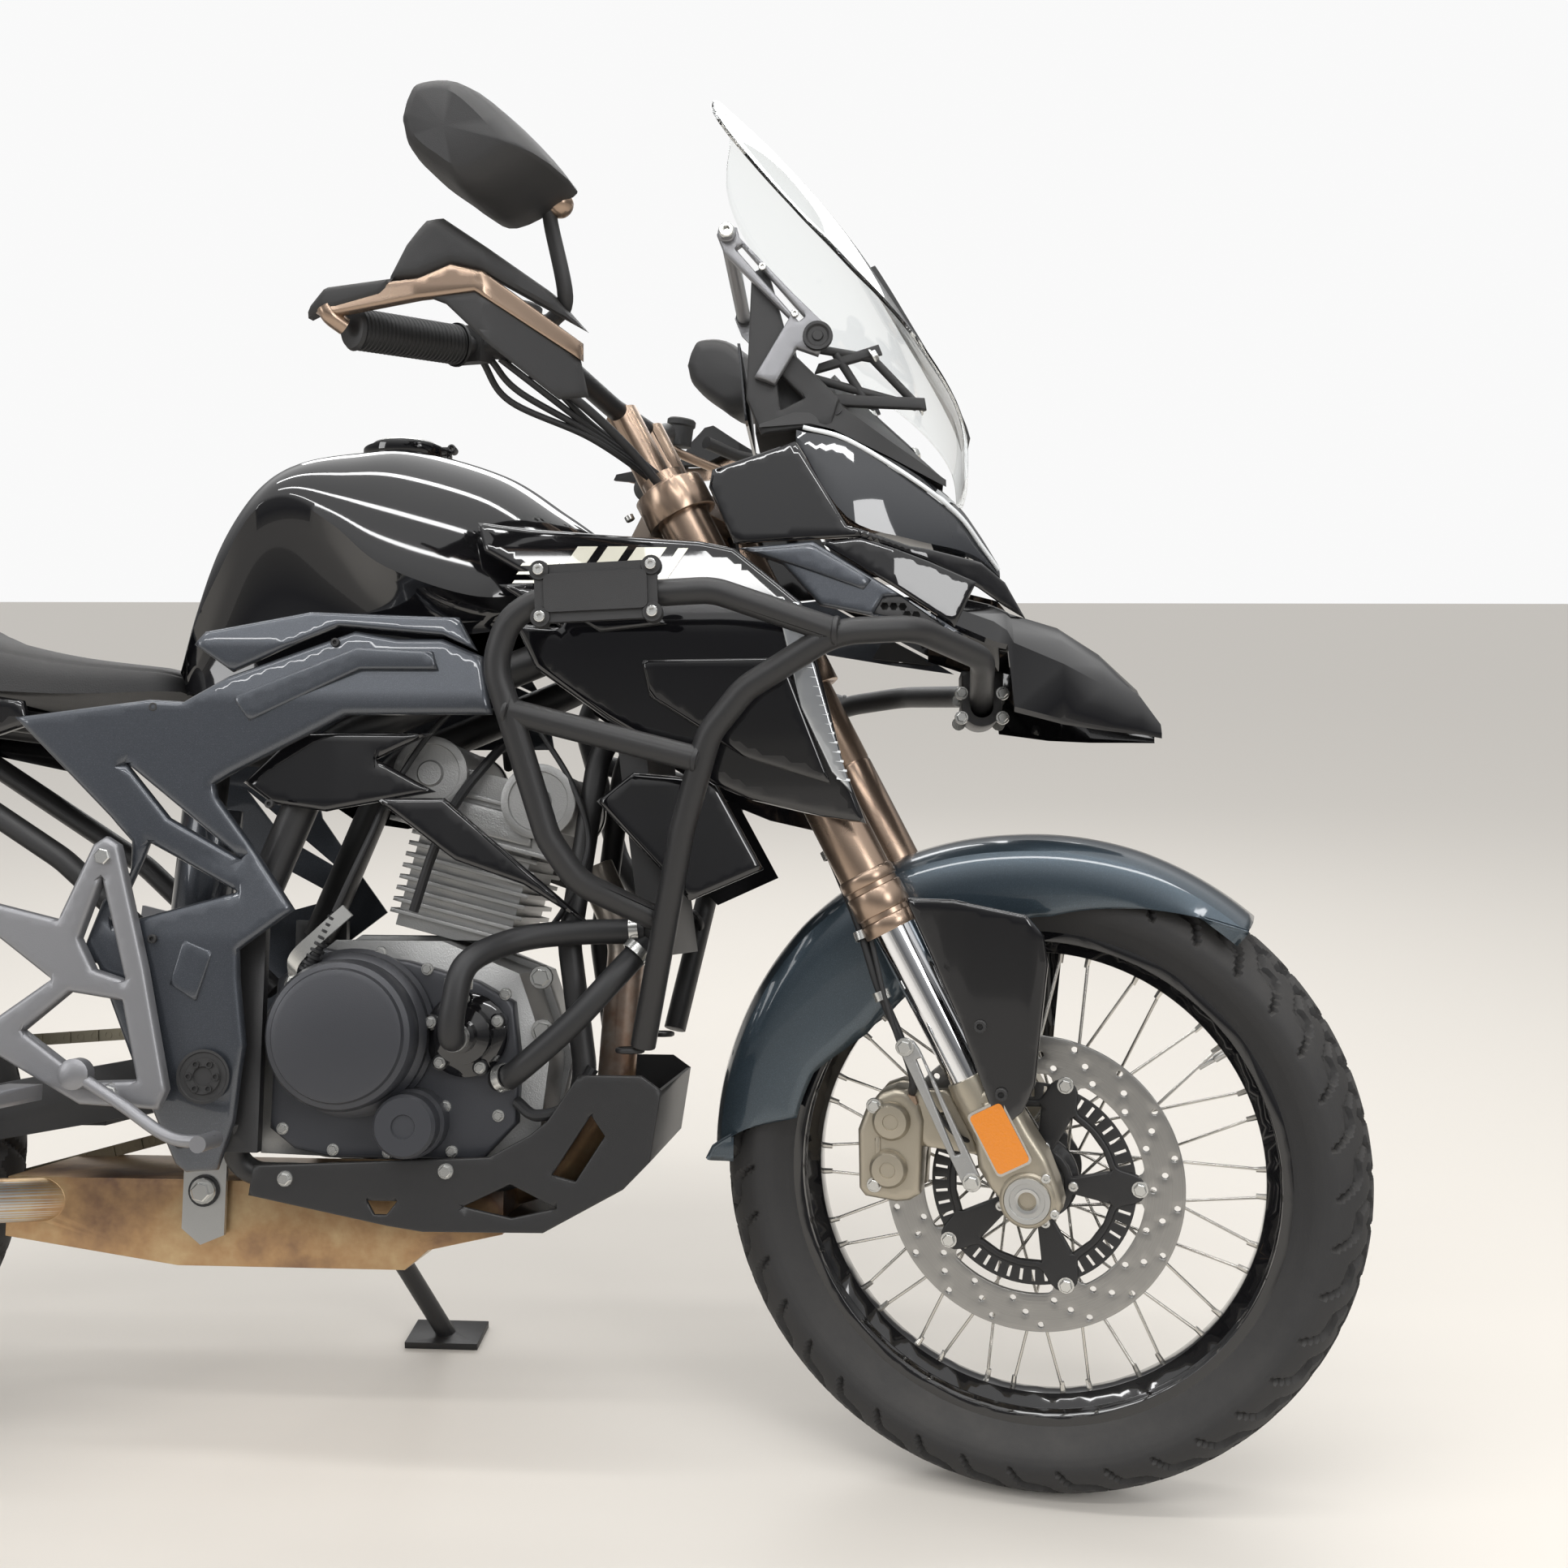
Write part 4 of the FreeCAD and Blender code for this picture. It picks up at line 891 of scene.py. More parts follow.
def tank():
    """Tank as one surface: a hollow flank up to a crease, and over it a dome that rounds to the ridge."""
    rows = smooth_path([(513, 815, 836, 848, 90), (535, 815, 880, 930, 112), (560, 815, 925, 1008, 126),
                        (600, 820, 990, 1050, 140), (640, 830, 1006, 1074, 147), (690, 850, 978, 1087, 150),
                        (745, 862, 935, 1091, 151), (840, 874, 905, 1063, 146), (905, 890, 922, 1022, 108),
                        (940, 906, 934, 998, 68)], 8)
    x, low, crease, top, half = rows.T[:, :, None]
    t = np.linspace(0, 1, 8)[None]
    flank_y = half * (0.8 + 0.2 * t**2.2)
    flank_z = low + (crease - low) * t
    turn = np.linspace(0, math.pi / 2, 18)[None, 1:]
    dome_y = half * np.cos(turn)**0.92
    dome_z = crease + (top - crease) * np.sin(turn)**0.95
    y = np.concatenate([flank_y, dome_y], 1)
    z = np.concatenate([flank_z, dome_z], 1)
    y = np.concatenate([-y, y[:, -2::-1]], 1)
    z = np.concatenate([z, z[:, -2::-1]], 1)
    grid = np.stack([np.broadcast_to(x, y.shape), y, z], -1)
    neck = lathe([(45, -12), (48, -6), (48, 1), (44, 2), (41, 0)], (720, 0, 1096), (0, 0, 1), sides=56)
    piece = on_chassis("tank_shell", [end_caps(grid), neck], "Gloss Black Paint", crease=28)
    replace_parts(piece, "fuel_tank")


SHROUD_PROFILE = [(150, 665), (166, 760), (182, 872), (170, 950), (160, 990)]


def side_forms():
    """Knee panels and side covers with their caps."""
    knee = [(556, 854), (566, 868), (671, 889), (822, 883), (843, 848), (808, 864), (701, 874), (595, 827)]
    knee = panel(knee, by_height([(158, 820), (161, 855), (152, 892)]), depth=8, roll=4, step=6)
    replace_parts(on_chassis("knee_shells", pair(knee), "Satin Graphite"), "knee_panels")
    edge = [(376, 780), (515, 798), (550, 796), (593, 822), (718, 869), (762, 861), (807, 861), (848, 843),
            (860, 784), (713, 783), (673, 762), (600, 725), (582, 714), (585, 701), (612, 665), (667, 590),
            (614, 550), (615, 523), (623, 457), (612, 383), (594, 334), (563, 331), (552, 339), (472, 535),
            (455, 539), (474, 598), (499, 626), (499, 656), (484, 672), (478, 679)]
    holes = [[(492, 734), (610, 640), (537, 680)], [(517, 655), (609, 607), (486, 573)]]
    slope = by_height([(142, 325), (158, 430), (163, 560), (156, 640), (162, 740), (166, 800), (155, 872)])
    cover = panel(edge, slope, depth=9, roll=6, holes=holes, step=7)
    pads = [panel([(560, 560), (590, 548), (575, 500), (548, 516)], 164, depth=6, roll=2),
            panel([(600, 800), (724, 850), (800, 846), (806, 828), (728, 828), (618, 776)], 167.5, depth=8,
                  roll=3)]
    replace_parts(on_chassis("cover_shells", pair(cover, *pads), "Satin Graphite"), "side_covers")


def shroud_forms():
    """Shrouds with their ridges, the blades below them and the lamp strips."""
    edge = ahead([(-570, 978), (-515, 970), (-346, 957), (-311, 949), (-265, 911), (-243, 892), (-202, 734),
                  (-180, 679), (-225, 686), (-292, 701), (-327, 715), (-435, 779), (-505, 828), (-526, 872),
                  (-480, 868), (-544, 912), (-505, 914), (-560, 946)])
    fin = ahead([(-510, 905), (-425, 925), (-375, 870), (-440, 862)])
    shell = panel(edge, by_height(SHROUD_PROFILE), depth=9, roll=6, step=7)
    ridge = panel(fin, by_height([(side + 3.5, z) for side, z in SHROUD_PROFILE]), depth=8, roll=3)
    low = panel(ahead([(-400, 836), (-262, 838), (-214, 716), (-300, 742), (-392, 800)]),
                by_height([(side + 4, z) for side, z in SHROUD_PROFILE]), depth=8, roll=4)
    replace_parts(on_chassis("shroud_shells", pair(shell, ridge, low), "Gloss Black Paint"), "shrouds")
    blades = [([(600, 718), (655, 767), (795, 768), (740, 741), (800, 709), (691, 688), (633, 696)],
               [(600, 132), (700, 148), (800, 140)]),
              ([(739, 702), (812, 702), (967, 570), (890, 617), (824, 640)],
               [(739, 144), (812, 152), (967, 126)]),
              ([(1000, 729), (1080, 722), (1129, 634), (1058, 602), (963, 700)],
               [(963, 146), (1040, 154), (1129, 140)])]
    shapes = [panel(outline, by_length(plan), depth=6, roll=5) for outline, plan in blades]
    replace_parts(on_chassis("blade_shells", pair(*shapes), "Gloss Black Paint"), "blades")
    strip = ahead([(-268, 890), (-246, 892), (-237, 850), (-205, 742), (-194, 708), (-214, 728),
                   (-244, 790)])
    strip = panel(strip, by_height([(155.5, 665), (171.5, 760), (187.5, 872), (183, 900)]), depth=6, roll=2)
    on_chassis("lamp_strips", pair(strip), "Lamp Strip")


def tail_forms():
    """Tail panels and the tail lamp."""
    tail = [(378, 776), (372, 800), (300, 812), (210, 842), (140, 868), (-70, 890), (-185, 900),
            (-330, 948), (-356, 930), (-240, 872), (100, 790), (300, 750)]
    tail = panel(tail, by_height([(132, 740), (142, 800), (136, 870), (118, 960)]), depth=8, roll=6)
    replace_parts(on_chassis("tail_shells", pair(tail), "Gloss Black Paint"), "tail_cowl")
    lamp = panel([(-372, 905), (-348, 905), (-348, 939), (-372, 935)], 60, depth=120, roll=4)
    on_chassis("tail_lamp", [lamp], "Tail Lens")


def lofted(stations, half_section):
    """Surface through stations along the machine: each gives its length and the half section's sizes."""
    rows = []
    for x, *sizes in stations:
        half = np.array(half_section(*sizes), float)
        whole = np.concatenate([half * (-1, 1), half[-2::-1] if half[-1, 0] == 0 else half[::-1]])
        rows.append(np.concatenate([np.full((len(whole), 1), x), whole], 1))
    return np.array(rows)


def beak_section(foot, hip, shoulder, ridge, half):
    """Half section of the beak from its foot over hip and shoulder to the ridge."""
    waist = 0.5 * (hip + shoulder) + 6
    return [(half * 0.97, foot), (half, foot + 5), (half * 0.96, hip), (half * 0.74, waist),
            (half * 0.48, shoulder), (half * 0.2, ridge - 1), (0, ridge)]


def lamp_section(side, low, high, ridge):
    """Half section of the lamp unit from its floor round the side to the ridge."""
    middle = 0.5 * (low + high)
    brow = high + 0.6 * (ridge - high)
    return [(0, low), (side * 0.9, low), (side, low + 3), (side * 1.01, middle), (side * 0.98, high),
            (side * 0.75, brow), (side * 0.45, ridge), (0, ridge + 1)]


def cover_section(side, low, high):
    """Half section of the cover below the dash."""
    hip = low + 0.4 * (high - low)
    return [(side, low), (side * 0.97, hip), (side * 0.6, high - 6), (side * 0.2, high), (0, high)]


def beak_form():
    """Beak with its cheeks and the cowl over them."""
    stations = [(1300, 884, 906, 924, 930, 121), (1358, 862, 888, 916, 922, 107),
                (1372, 860, 880, 911, 917, 100), (1379, 797, 868, 907, 913, 97),
                (1432, 787, 850, 890, 899, 74), (1476, 783, 830, 862, 871, 56),
                (1517, 781, 806, 826, 833, 38), (1540, 779, 786, 791, 793, 22)]
    top = lofted(stations, beak_section)
    cheek = panel(ahead([(-228, 960), (-187, 966), (-118, 945), (-70, 927), (-92, 880), (-151, 915)]),
                  by_length(ahead([(-232, 149), (-153, 140), (-110, 125), (-65, 112)])), depth=5, roll=4)
    cowl = panel(ahead([(-339, 1015), (-336, 1033), (-253, 1062), (-201, 978), (-138, 961), (-63, 954),
                        (-36, 940), (-13, 905), (-67, 927), (-118, 945), (-187, 966), (-230, 963),
                        (-313, 957)]), by_length(ahead([(-344, 153), (-260, 152), (-187, 144), (-118, 122),
                                                        (-67, 88), (-38, 54), (-10, 32)])), depth=5, roll=4)
    beak = on_chassis("beak_shell", [top] + pair(cheek, cowl), "Gloss Black Paint", crease=24)
    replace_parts(beak, "beak")


def scoop_forms():
    """Scoops with their brows and grilles."""
    plan = by_length(ahead([(-312, 152), (-234, 148), (-153, 139), (-78, 121)]))
    edge = ahead([(-309, 953), (-234, 961), (-154, 913), (-97, 880), (-80, 869), (-227, 896), (-264, 937)])
    mouth = ahead([(-174, 889), (-164, 906), (-147, 907), (-104, 879)])
    brow = panel(ahead([(-300, 950), (-236, 956), (-176, 922), (-184, 912), (-250, 934)]),
                 lambda x, z: plan(x, z) + 4, depth=8, roll=3)
    scoop = panel(edge, lambda x, z: plan(x, z) + 1, depth=6, roll=4, holes=[mouth], step=5)
    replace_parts(on_chassis("scoop_shells", pair(scoop, brow), "Satin Graphite"), "scoops")
    cells = []
    for row in range(4):
        for column in range(9):
            spot = (1238 + 9 * column + 4.5 * (row % 2), 881 + 7.8 * row)
            loop = arc_loop(4.2, 6, spot)
            if inside(*np.array(loop).T, mouth).all():
                cells.append(loop)
    grille = panel(mouth, lambda x, z: plan(x, z) - 2, depth=3, roll=0.5, holes=cells, step=6)
    back = panel(mouth, lambda x, z: plan(x, z) - 12, depth=2, roll=0.5)
    on_chassis("scoop_grilles", pair(grille, back), "Moulded Black")


def lamp_form():
    """Lamp unit as one dark shell."""
    stations = [(1157, 131, 1064, 1080, 1096), (1209, 132, 986, 1066, 1088), (1272, 110, 969, 1033, 1064),
                (1321, 84, 964, 1002, 1030), (1347, 58, 960, 977, 1000), (1370, 34, 946, 953, 966)]
    shell = lofted(smooth_path(stations, 5), lamp_section)
    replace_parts(on_chassis("lamp_shell", [shell], "Lamp Lens", crease=26), "headlamp")


SCREEN_LINE = [(1035, 1337, 16), (1115, 1330, 24), (1240, 1264, 62), (1330, 1207, 104), (1410, 1140, 126),
               (1485, 1064, 138)]
SCREEN_EDGE = [(72, 1046), (92, 1098), (116, 1150), (150, 1208), (163, 1228), (164, 1246), (158, 1285),
               (151, 1310), (143, 1350), (134, 1385), (122, 1415), (104, 1440), (82, 1456), (58, 1466),
               (30, 1472), (2, 1474)]


def screen_at(y, z):
    """Length of the screen's face at a width and height: its middle line swept back by the width squared."""
    heights, lengths, sweeps = np.array(smooth_path(SCREEN_LINE, 6)).T
    return np.interp(z, heights, lengths) - np.interp(z, heights, sweeps) * (y / 175)**2


def screen_forms():
    """Curved clear screen with its bead, side arms and cross tube."""
    half, height = smooth_path(SCREEN_EDGE, 5).T
    share = np.linspace(-1, 1, 41)[None]
    y = half[:, None] * share
    z = height[:, None] + 0 * y
    screen = on_chassis("screen_shell", [np.stack([screen_at(y, z), y, z], -1)], "Clear Screen")
    thicken(screen, 3.5)
    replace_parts(screen, "windscreen")
    bead_z = np.linspace(1102, 1296, 40)
    bead = np.stack([screen_at(0, bead_z) + 3.2, 0 * bead_z, bead_z + 1], 1)
    on_chassis("screen_bead", [ribbon(bead, (0, 20, 0), (2.8, 0, 1.2))], "Moulded Black")
    arm = ahead([(-338, 1292), (-332, 1301), (-317, 1299), (-314, 1288), (-256, 1226), (-220, 1190),
                 (-232, 1162), (-254, 1170), (-276, 1132), (-297, 1140), (-262, 1202), (-330, 1272)])
    groove = ahead([(-318, 1276), (-312, 1280), (-246, 1203), (-252, 1198)])
    arms = pair(panel(arm, 119, depth=8, roll=2.5, holes=[groove], step=5),
                lathe([(0, 5), (8.5, 5), (9.5, 4), (9.5, -14)], (1083, -119, 1291), OUTWARD, sides=24))
    arms.append(lathe([(8, -112), (8, 112)], (1083, 0, 1291), (0, 1, 0), sides=24))
    on_chassis("screen_arms", arms, "Satin Grey Casting")


def screen_bracket():
    """Stays and struts behind the screen, the dash and the nose cover below."""
    stay = ahead([(-302, 1254), (-286, 1262), (-260, 1170), (-210, 1120), (-218, 1092), (-290, 1082),
                  (-306, 1120)])
    shapes = [panel(stay, 110, depth=8, roll=3, holes=[ahead([(-276, 1150), (-246, 1120), (-270, 1108)])],
                    step=6), panel(ahead([(-236, 1150), (-232, 1160), (-170, 1180), (-166, 1170)]), 100,
                                   depth=7, roll=2),
              panel(ahead([(-240, 1118), (-238, 1130), (-122, 1124), (-120, 1112)]), 96, depth=7, roll=2)]
    for start, end in (((1174, -98, 1176), (1236, -94, 1166)), ((1160, -98, 1148), (1280, -84, 1118)),
                       ((1234, -94, 1166), (1282, -84, 1118)), ((1196, -97, 1170), (1226, -90, 1124))):
        shapes.append(swept(np.linspace(start, end, 3), 4.5, sides=14))
    shapes = pair(*shapes) + [swept([(1196, -106, 1110), (1196, 0, 1110), (1196, 106, 1110)], 7, sides=16)]
    cover = lofted([(1118, 113, 1088, 1100), (1170, 112, 1092, 1142), (1194, 108, 1087, 1166),
                    (1250, 84, 1066, 1112), (1312, 58, 1040, 1060)], cover_section)
    dash = panel([(1112, 1092), (1172, 1092), (1150, 1196), (1104, 1204)], 88, depth=176, roll=8)
    piece = on_chassis("screen_bracket", shapes + [cover, dash], "Moulded Black", crease=26)
    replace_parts(piece, "screen_mount")
    face = panel([(1100, 1108), (1103, 1108), (1094, 1192), (1091, 1192)], 74, depth=148, roll=1)
    on_chassis("dash_glass", [face], "Lamp Lens")


GRIP_ROOT = np.array([905, -300, 1140.0])


def beside_bar(points):
    """Side-view points measured from the bar's middle."""
    return [(1019.8 + x, 980.1 + z) for x, z in points]


def guard_forms():
    """Hand guards with rail, shield and wing."""
    line = [(805.8, 400), (837.8, 424), (929.8, 432), (984.8, 424), (1049.8, 348)]
    rail = panel(beside_bar([(-208, 166), (-177, 180), (-90, 181), (-62, 192), (-35, 185), (25, 140),
                             (25, 124), (-42, 168), (-85, 164), (-170, 158)]), by_length(line), depth=10,
                 roll=3.5, step=5)
    low = panel(beside_bar([(-84, 166), (-42, 170), (23, 126), (28, 94), (9, 88), (-30, 122), (-69, 160)]),
                by_length([(x, side - 3) for x, side in line]), depth=8, roll=4, step=6)
    wing = panel(beside_bar([(-123, 182), (-104, 212), (-85, 231), (-72, 233), (3, 181), (24, 154),
                             (-35, 184), (-62, 191), (-90, 181)]),
                 by_length([(x, side - 2) for x, side in line]), depth=26, roll=9, step=6)
    root = GRIP_ROOT + np.array([0.373, 0.912, 0.166]) * 76
    stay = swept(smooth_path([root, root + (30, -30, -14), (1041.8, -352, 1112)], 8), 6, sides=14)
    stub = swept(smooth_path([(850, -409, 1131), (842, -418, 1138), (838, -420, 1146)], 6), 8, sides=14)
    rails = on_fork("guard_rails", pair(rail, stay, stub), "Bronze Anodised")
    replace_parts(rails, "handguards")
    on_fork("guard_wings", pair(low, wing), "Moulded Black")


def mirror_forms():
    """Mirror shells as rings that close to the front and the back, with their stalks and ball joints."""
    edge = np.array(beside_bar([(-99, 307), (-92, 328), (-78, 341), (-33, 332), (26, 273), (24, 258),
                                (-27, 236), (-58, 252), (-90, 279)]))
    loop = smooth_path(np.concatenate([edge, edge[:1]]), 5)
    middle = edge.mean(0)
    rows = []
    for side, share in ((345, 0.55), (347, 0.72), (353, 0.86), (366, 0.96), (395, 1), (430, 0.96),
                        (450, 0.88), (462, 0.76), (468, 0.6)):
        ring = middle + (loop - middle) * share
        rows.append(np.stack([ring[:, 0], np.full(len(ring), -side), ring[:, 1]], 1))
    shell = end_caps(np.array(rows))
    stalk = swept(smooth_path([(1024, -372, 1242), (1022, -362, 1222), (1032, -354, 1160),
                               (1008, -320, 1152), (976, -270, 1162)], 8), np.linspace(6, 8, 33), sides=16)
    piece = on_fork("mirror_shells", pair(shell, stalk), "Moulded Black", crease=40)
    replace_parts(piece, "mirrors")
    turn = np.linspace(0, math.pi, 12)
    ball = lathe(np.stack([12.5 * np.sin(turn), 12.5 * np.cos(turn)], 1), (1030, -362, 1238), (0, 1, 0),
                 sides=24)
    on_fork("mirror_balls", pair(ball), "Bronze Anodised")


PUMP = (833, 468)
PUMP_EARS = (0.4, 1.6, 2.8, 4.0, 5.2)
HEAD_ROOT = (800, 562)
HEAD_TILT = -14


def on_head(*points):
    """Side-view points measured along and up the leaning cylinder."""
    return tilted(points, HEAD_ROOT, degrees=HEAD_TILT)


def cover_forms():
    """Covers of the clutch, the oil strainer and the generator, and the water pump."""
    base = panel([(634, 372), (660, 352), (700, 344), (850, 344), (884, 380), (886, 440), (878, 500),
                  (842, 520), (770, 540), (680, 552), (636, 520)], 112, depth=17, roll=4)
    clutch = lathe([(84, 0), (84, 6), (80, 10), (80, 20), (77, 24), (74, 26), (74, 44), (71, 49), (66, 51),
                    (64, 55), (58, 57), (0, 58)], (717, -112, 468), OUTWARD, sides=72)
    strainer = lathe([(34, 0), (34, 20), (31, 24), (31, 42), (28, 46), (12, 46), (11, 44), (0, 44)],
                     (783, -112, 381), OUTWARD, sides=40)
    generator = flipped(lathe([(84, 0), (84, 14), (76, 18), (76, 32), (70, 36), (42, 37), (40, 42),
                               (0, 42)], (770, -95, 450), OUTWARD, sides=60))
    piece = on_chassis("cover_castings", [base, clutch, strainer, generator], "Dark Cover Paint")
    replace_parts(piece, "engine_covers")
    pump = [lathe([(42, 0), (42, 8), (38, 11), (29, 13), (28, 26), (17, 30), (16, 40), (12, 41)],
                  (833, -112, 468), OUTWARD, sides=40)]
    pump += [lathe([(8, 0), (8, 15), (0, 16)], (x, -112, z), OUTWARD, sides=16)
             for x, z in round_spots(PUMP, 36, PUMP_EARS)]
    on_chassis("water_pump", pump, "Gloss Black Paint")


def engine_ribs():
    """Fins of the cylinder, flanges and rings of its head, and the joint of the crankcase halves."""
    fins = [panel(on_head((-68, h), (68, h), (68, h + 4.5), (-68, h + 4.5)), 71, depth=142, roll=1)
            for h in range(12, 100, 12)]
    fins += [panel(on_head((-89, h), (89, h), (89, h + 5), (-89, h + 5)), 89, depth=178, roll=1)
             for h in (104, 146)]
    fins += pair(panel(on_head((-62, 112), (62, 112), (56, 142), (-56, 142)), 90, depth=8, roll=3))
    for x, z in on_head((-58, 160), (58, 160)):
        fins += pair(lathe([(38.5, -4), (38.5, 2), (36, 3), (31, 3), (30, 1), (14, 1), (12, 4), (0, 4)],
                           (x, -95, z), OUTWARD, sides=44))
    fins += [panel([(608, 345), (648, 330), (855, 330), (905, 363), (921, 440), (887, 534), (802, 565),
                    (688, 565), (632, 526), (610, 482)], 6, depth=12, roll=2)]
    on_chassis("engine_ribs", fins, "Cast Silver")


def water_hoses():
    """Hoses from the pump to the radiator."""
    upper = smooth_path([(833, -150, 468), (833, -176, 470), (836, -182, 500), (846, -172, 540),
                         (885, -138, 562), (940, -122, 570), (1010, -118, 572)], 10)
    lower = smooth_path([(1012, -118, 560), (985, -140, 528), (946, -150, 484), (904, -146, 446),
                         (880, -130, 428), (866, -112, 424)], 10)
    on_chassis("water_hoses", [swept(upper, 12.5, sides=20), swept(lower, 12.5, sides=20)], "Hose Rubber")


def skid_plate():
    """Skid plate: two windowed sides and the sheet that joins them."""
    edge = [(627, 338), (862, 350), (902, 372), (919, 386), (949, 431), (1011, 431), (1031, 417),
            (1021, 348), (995, 321), (917, 278), (798, 277), (763, 282), (623, 309)]
    holes = [[(925, 334), (962, 392), (976, 372), (948, 328)],
             [(838, 302), (884, 324), (930, 302), (886, 292)],
             [(742, 306), (772, 306), (762, 293), (750, 293)]]
    sides = pair(panel(edge, 133, depth=4, roll=2, holes=holes, step=7))
    front = [(1031, 417), (1021, 348), (995, 321), (917, 278), (798, 277), (798, 281), (916, 282),
             (991, 325), (1017, 350), (1027, 417)]
    piece = on_chassis("skid_shell", sides + [panel(front, 131, depth=262, roll=1)], "Black Powder Coat")
    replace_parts(piece, "skid_plate")


def footrest_forms():
    """Footrest castings with pegs and levers."""
    edge = [(472, 652), (484, 660), (497, 652), (530, 530), (556, 415), (548, 396), (470, 400), (378, 450),
            (366, 470), (436, 520), (362, 574), (364, 596), (440, 578)]
    holes = [[(482, 620), (462, 560), (478, 530), (510, 520)],
             [(455, 508), (410, 470), (478, 422), (526, 424), (508, 500)]]
    bracket = panel(edge, 180, depth=13, roll=5, holes=holes, step=6)
    peg = panel([(400, 404), (434, 404), (434, 419), (400, 419)], 266, depth=88, roll=2)
    lever = swept(smooth_path([(470, -186, 430), (520, -192, 402), (575, -206, 374), (620, -214, 372)], 8),
                  6, sides=14)
    tip = lathe([(0, 20), (8, 20), (8, -20), (0, -20)], (614, -216, 372), (0, 1, 0), sides=16)
    knob = lathe([(15, 0), (15, 14), (10, 17), (0, 17)], (470, -178, 430), OUTWARD, sides=24)
    piece = on_chassis("footrest_castings", pair(bracket, peg, lever, tip, knob), "Satin Grey Casting")
    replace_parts(piece, "footrests")


def chain():
    """Roller chain: plates between evenly spaced pins along the tangents and wraps of the two sprockets."""
    far, near, link, level = 101.0, 36.0, 15.875, 76
    sprocket = np.array([676, 436.0])
    spacing = sprocket - (0, REAR_RADIUS)
    reach = np.hypot(*spacing)
    bearing = math.atan2(spacing[1], spacing[0])
    wrap = math.acos((far - near) / reach)
    top = np.linspace(bearing + wrap, bearing + 2 * math.pi - wrap, 60)
    front = np.linspace(bearing - wrap, bearing + wrap, 24)
    rear_arc = np.array(round_spots((0, REAR_RADIUS), far, top))
    front_arc = np.array(round_spots(sprocket, near, front))
    line = np.concatenate([rear_arc, front_arc, rear_arc[:1]])
    length = np.concatenate([[0], np.cumsum(np.linalg.norm(np.diff(line, axis=0), axis=1))])
    count = 2 * int(length[-1] / (2 * link))
    spots = np.linspace(0, length[-1], count + 1)
    x, z = np.interp(spots, length, line[:, 0]), np.interp(spots, length, line[:, 1])
    links = []
    for i in range(count):
        a, b = np.array([x[i], level, z[i]]), np.array([x[i + 1], level, z[i + 1]])
        way = (b - a) / np.linalg.norm(b - a) * 4
        rise = np.array([-way[2], 0, way[0]]) * 1.6
        for side in (-6.5 - 1.4 * (i % 2), 6.5 + 1.4 * (i % 2)):
            links.append(ribbon([a - way + (0, side, 0), b + way + (0, side, 0)], rise, (0, 0.7, 0)))
        links.append(lathe([(4, -9), (4, 9)], a, (0, 1, 0), sides=8))
    on_chassis("drive_chain", links, "Chain Steel")


# Wheels

def soft_step(value, low, high):
    """Smooth rise from 0 to 1 between two values."""
    t = np.clip((value - low) / (high - low), 0, 1)
    return t * t * (3 - 2 * t)


def tread_depth(pitch, across):
    """How deep the tread is cut, from 0 to 1.

    Slanted grooves part the shoulder blocks, two zigzag grooves part those from the middle blocks, and
    short cuts cross the middle.
    """
    lean = 1.5 * abs(across) + 0.16 * np.sin(2 * math.pi * pitch)
    phase = (pitch + lean) % 1
    shoulder = (1 - soft_step(abs(phase - 0.5), 0.07, 0.13)) * soft_step(abs(across), 0.3, 0.36)
    wave = 0.34 + 0.05 * (2 * abs((pitch * 2) % 1 - 0.5) - 0.5) * 2
    zigzag = 1 - soft_step(abs(abs(across) - wave), 0.035, 0.06)
    cuts = 1 - soft_step(abs((pitch + 0.9 * across) % 1 - 0.25), 0.05, 0.1)
    middle = cuts * (1 - soft_step(abs(across), 0.2, 0.3))
    return np.maximum(np.maximum(shoulder, zigzag), middle * 0.8) * (1 - soft_step(abs(across), 0.98, 1.06))


def tyre_surface(radius, crown, half_width, bead, half_rim, pitches, depth=5.5):
    """Tyre as one surface, round the wheel by across it, the tread cut along each point's own normal.

    The crown is an arc of the crown radius, the flank a cubic from its end to the bead with moulded ridges.
    """
    edge = math.asin(half_width / crown * 0.985)
    arc = np.linspace(-edge, edge, 47)
    crown_r, crown_y = radius - crown + crown * np.cos(arc), crown * np.sin(arc)
    t = np.linspace(0, 1, 16)[1:]
    flank_r = crown_r[-1] + (bead - crown_r[-1]) * t
    bulge = (1 - t)**3 * crown_y[-1] + 3 * (1 - t)**2 * t * (crown_y[-1] + 4)
    bulge = bulge + 3 * (1 - t) * t**2 * (half_rim + 10) + t**3 * half_rim
    ridges = 0.5 * (np.cos(t * 40) > 0.6) * (t < 0.9)
    flank_y = bulge + ridges
    r = np.concatenate([flank_r[::-1], crown_r, flank_r])
    y = np.concatenate([-flank_y[::-1], crown_y, flank_y])
    across = np.concatenate([-1 - t[::-1] * 0.6, arc / edge, 1 + t * 0.6])
    turn = np.linspace(0, 2 * math.pi, pitches * 14 + 1)
    pitch = turn * pitches / (2 * math.pi)
    cut = depth * tread_depth(pitch[:, None], across[None, :])
    lean = np.clip(np.concatenate([np.full(15, -edge), arc, np.full(15, edge)]), -edge, edge)
    r = r[None, :] - cut * np.cos(lean)
    y = y[None, :] - cut * np.sin(lean)
    inner = np.full((len(turn), 1), bead - 1.0)
    r = np.concatenate([inner, r, inner], 1)
    y = np.concatenate([y[:, :1], y, y[:, -1:]], 1)
    grid = np.stack([r * np.cos(turn)[:, None], y, r * np.sin(turn)[:, None]], -1)
    return np.concatenate([grid, grid[:, :1]], 1)


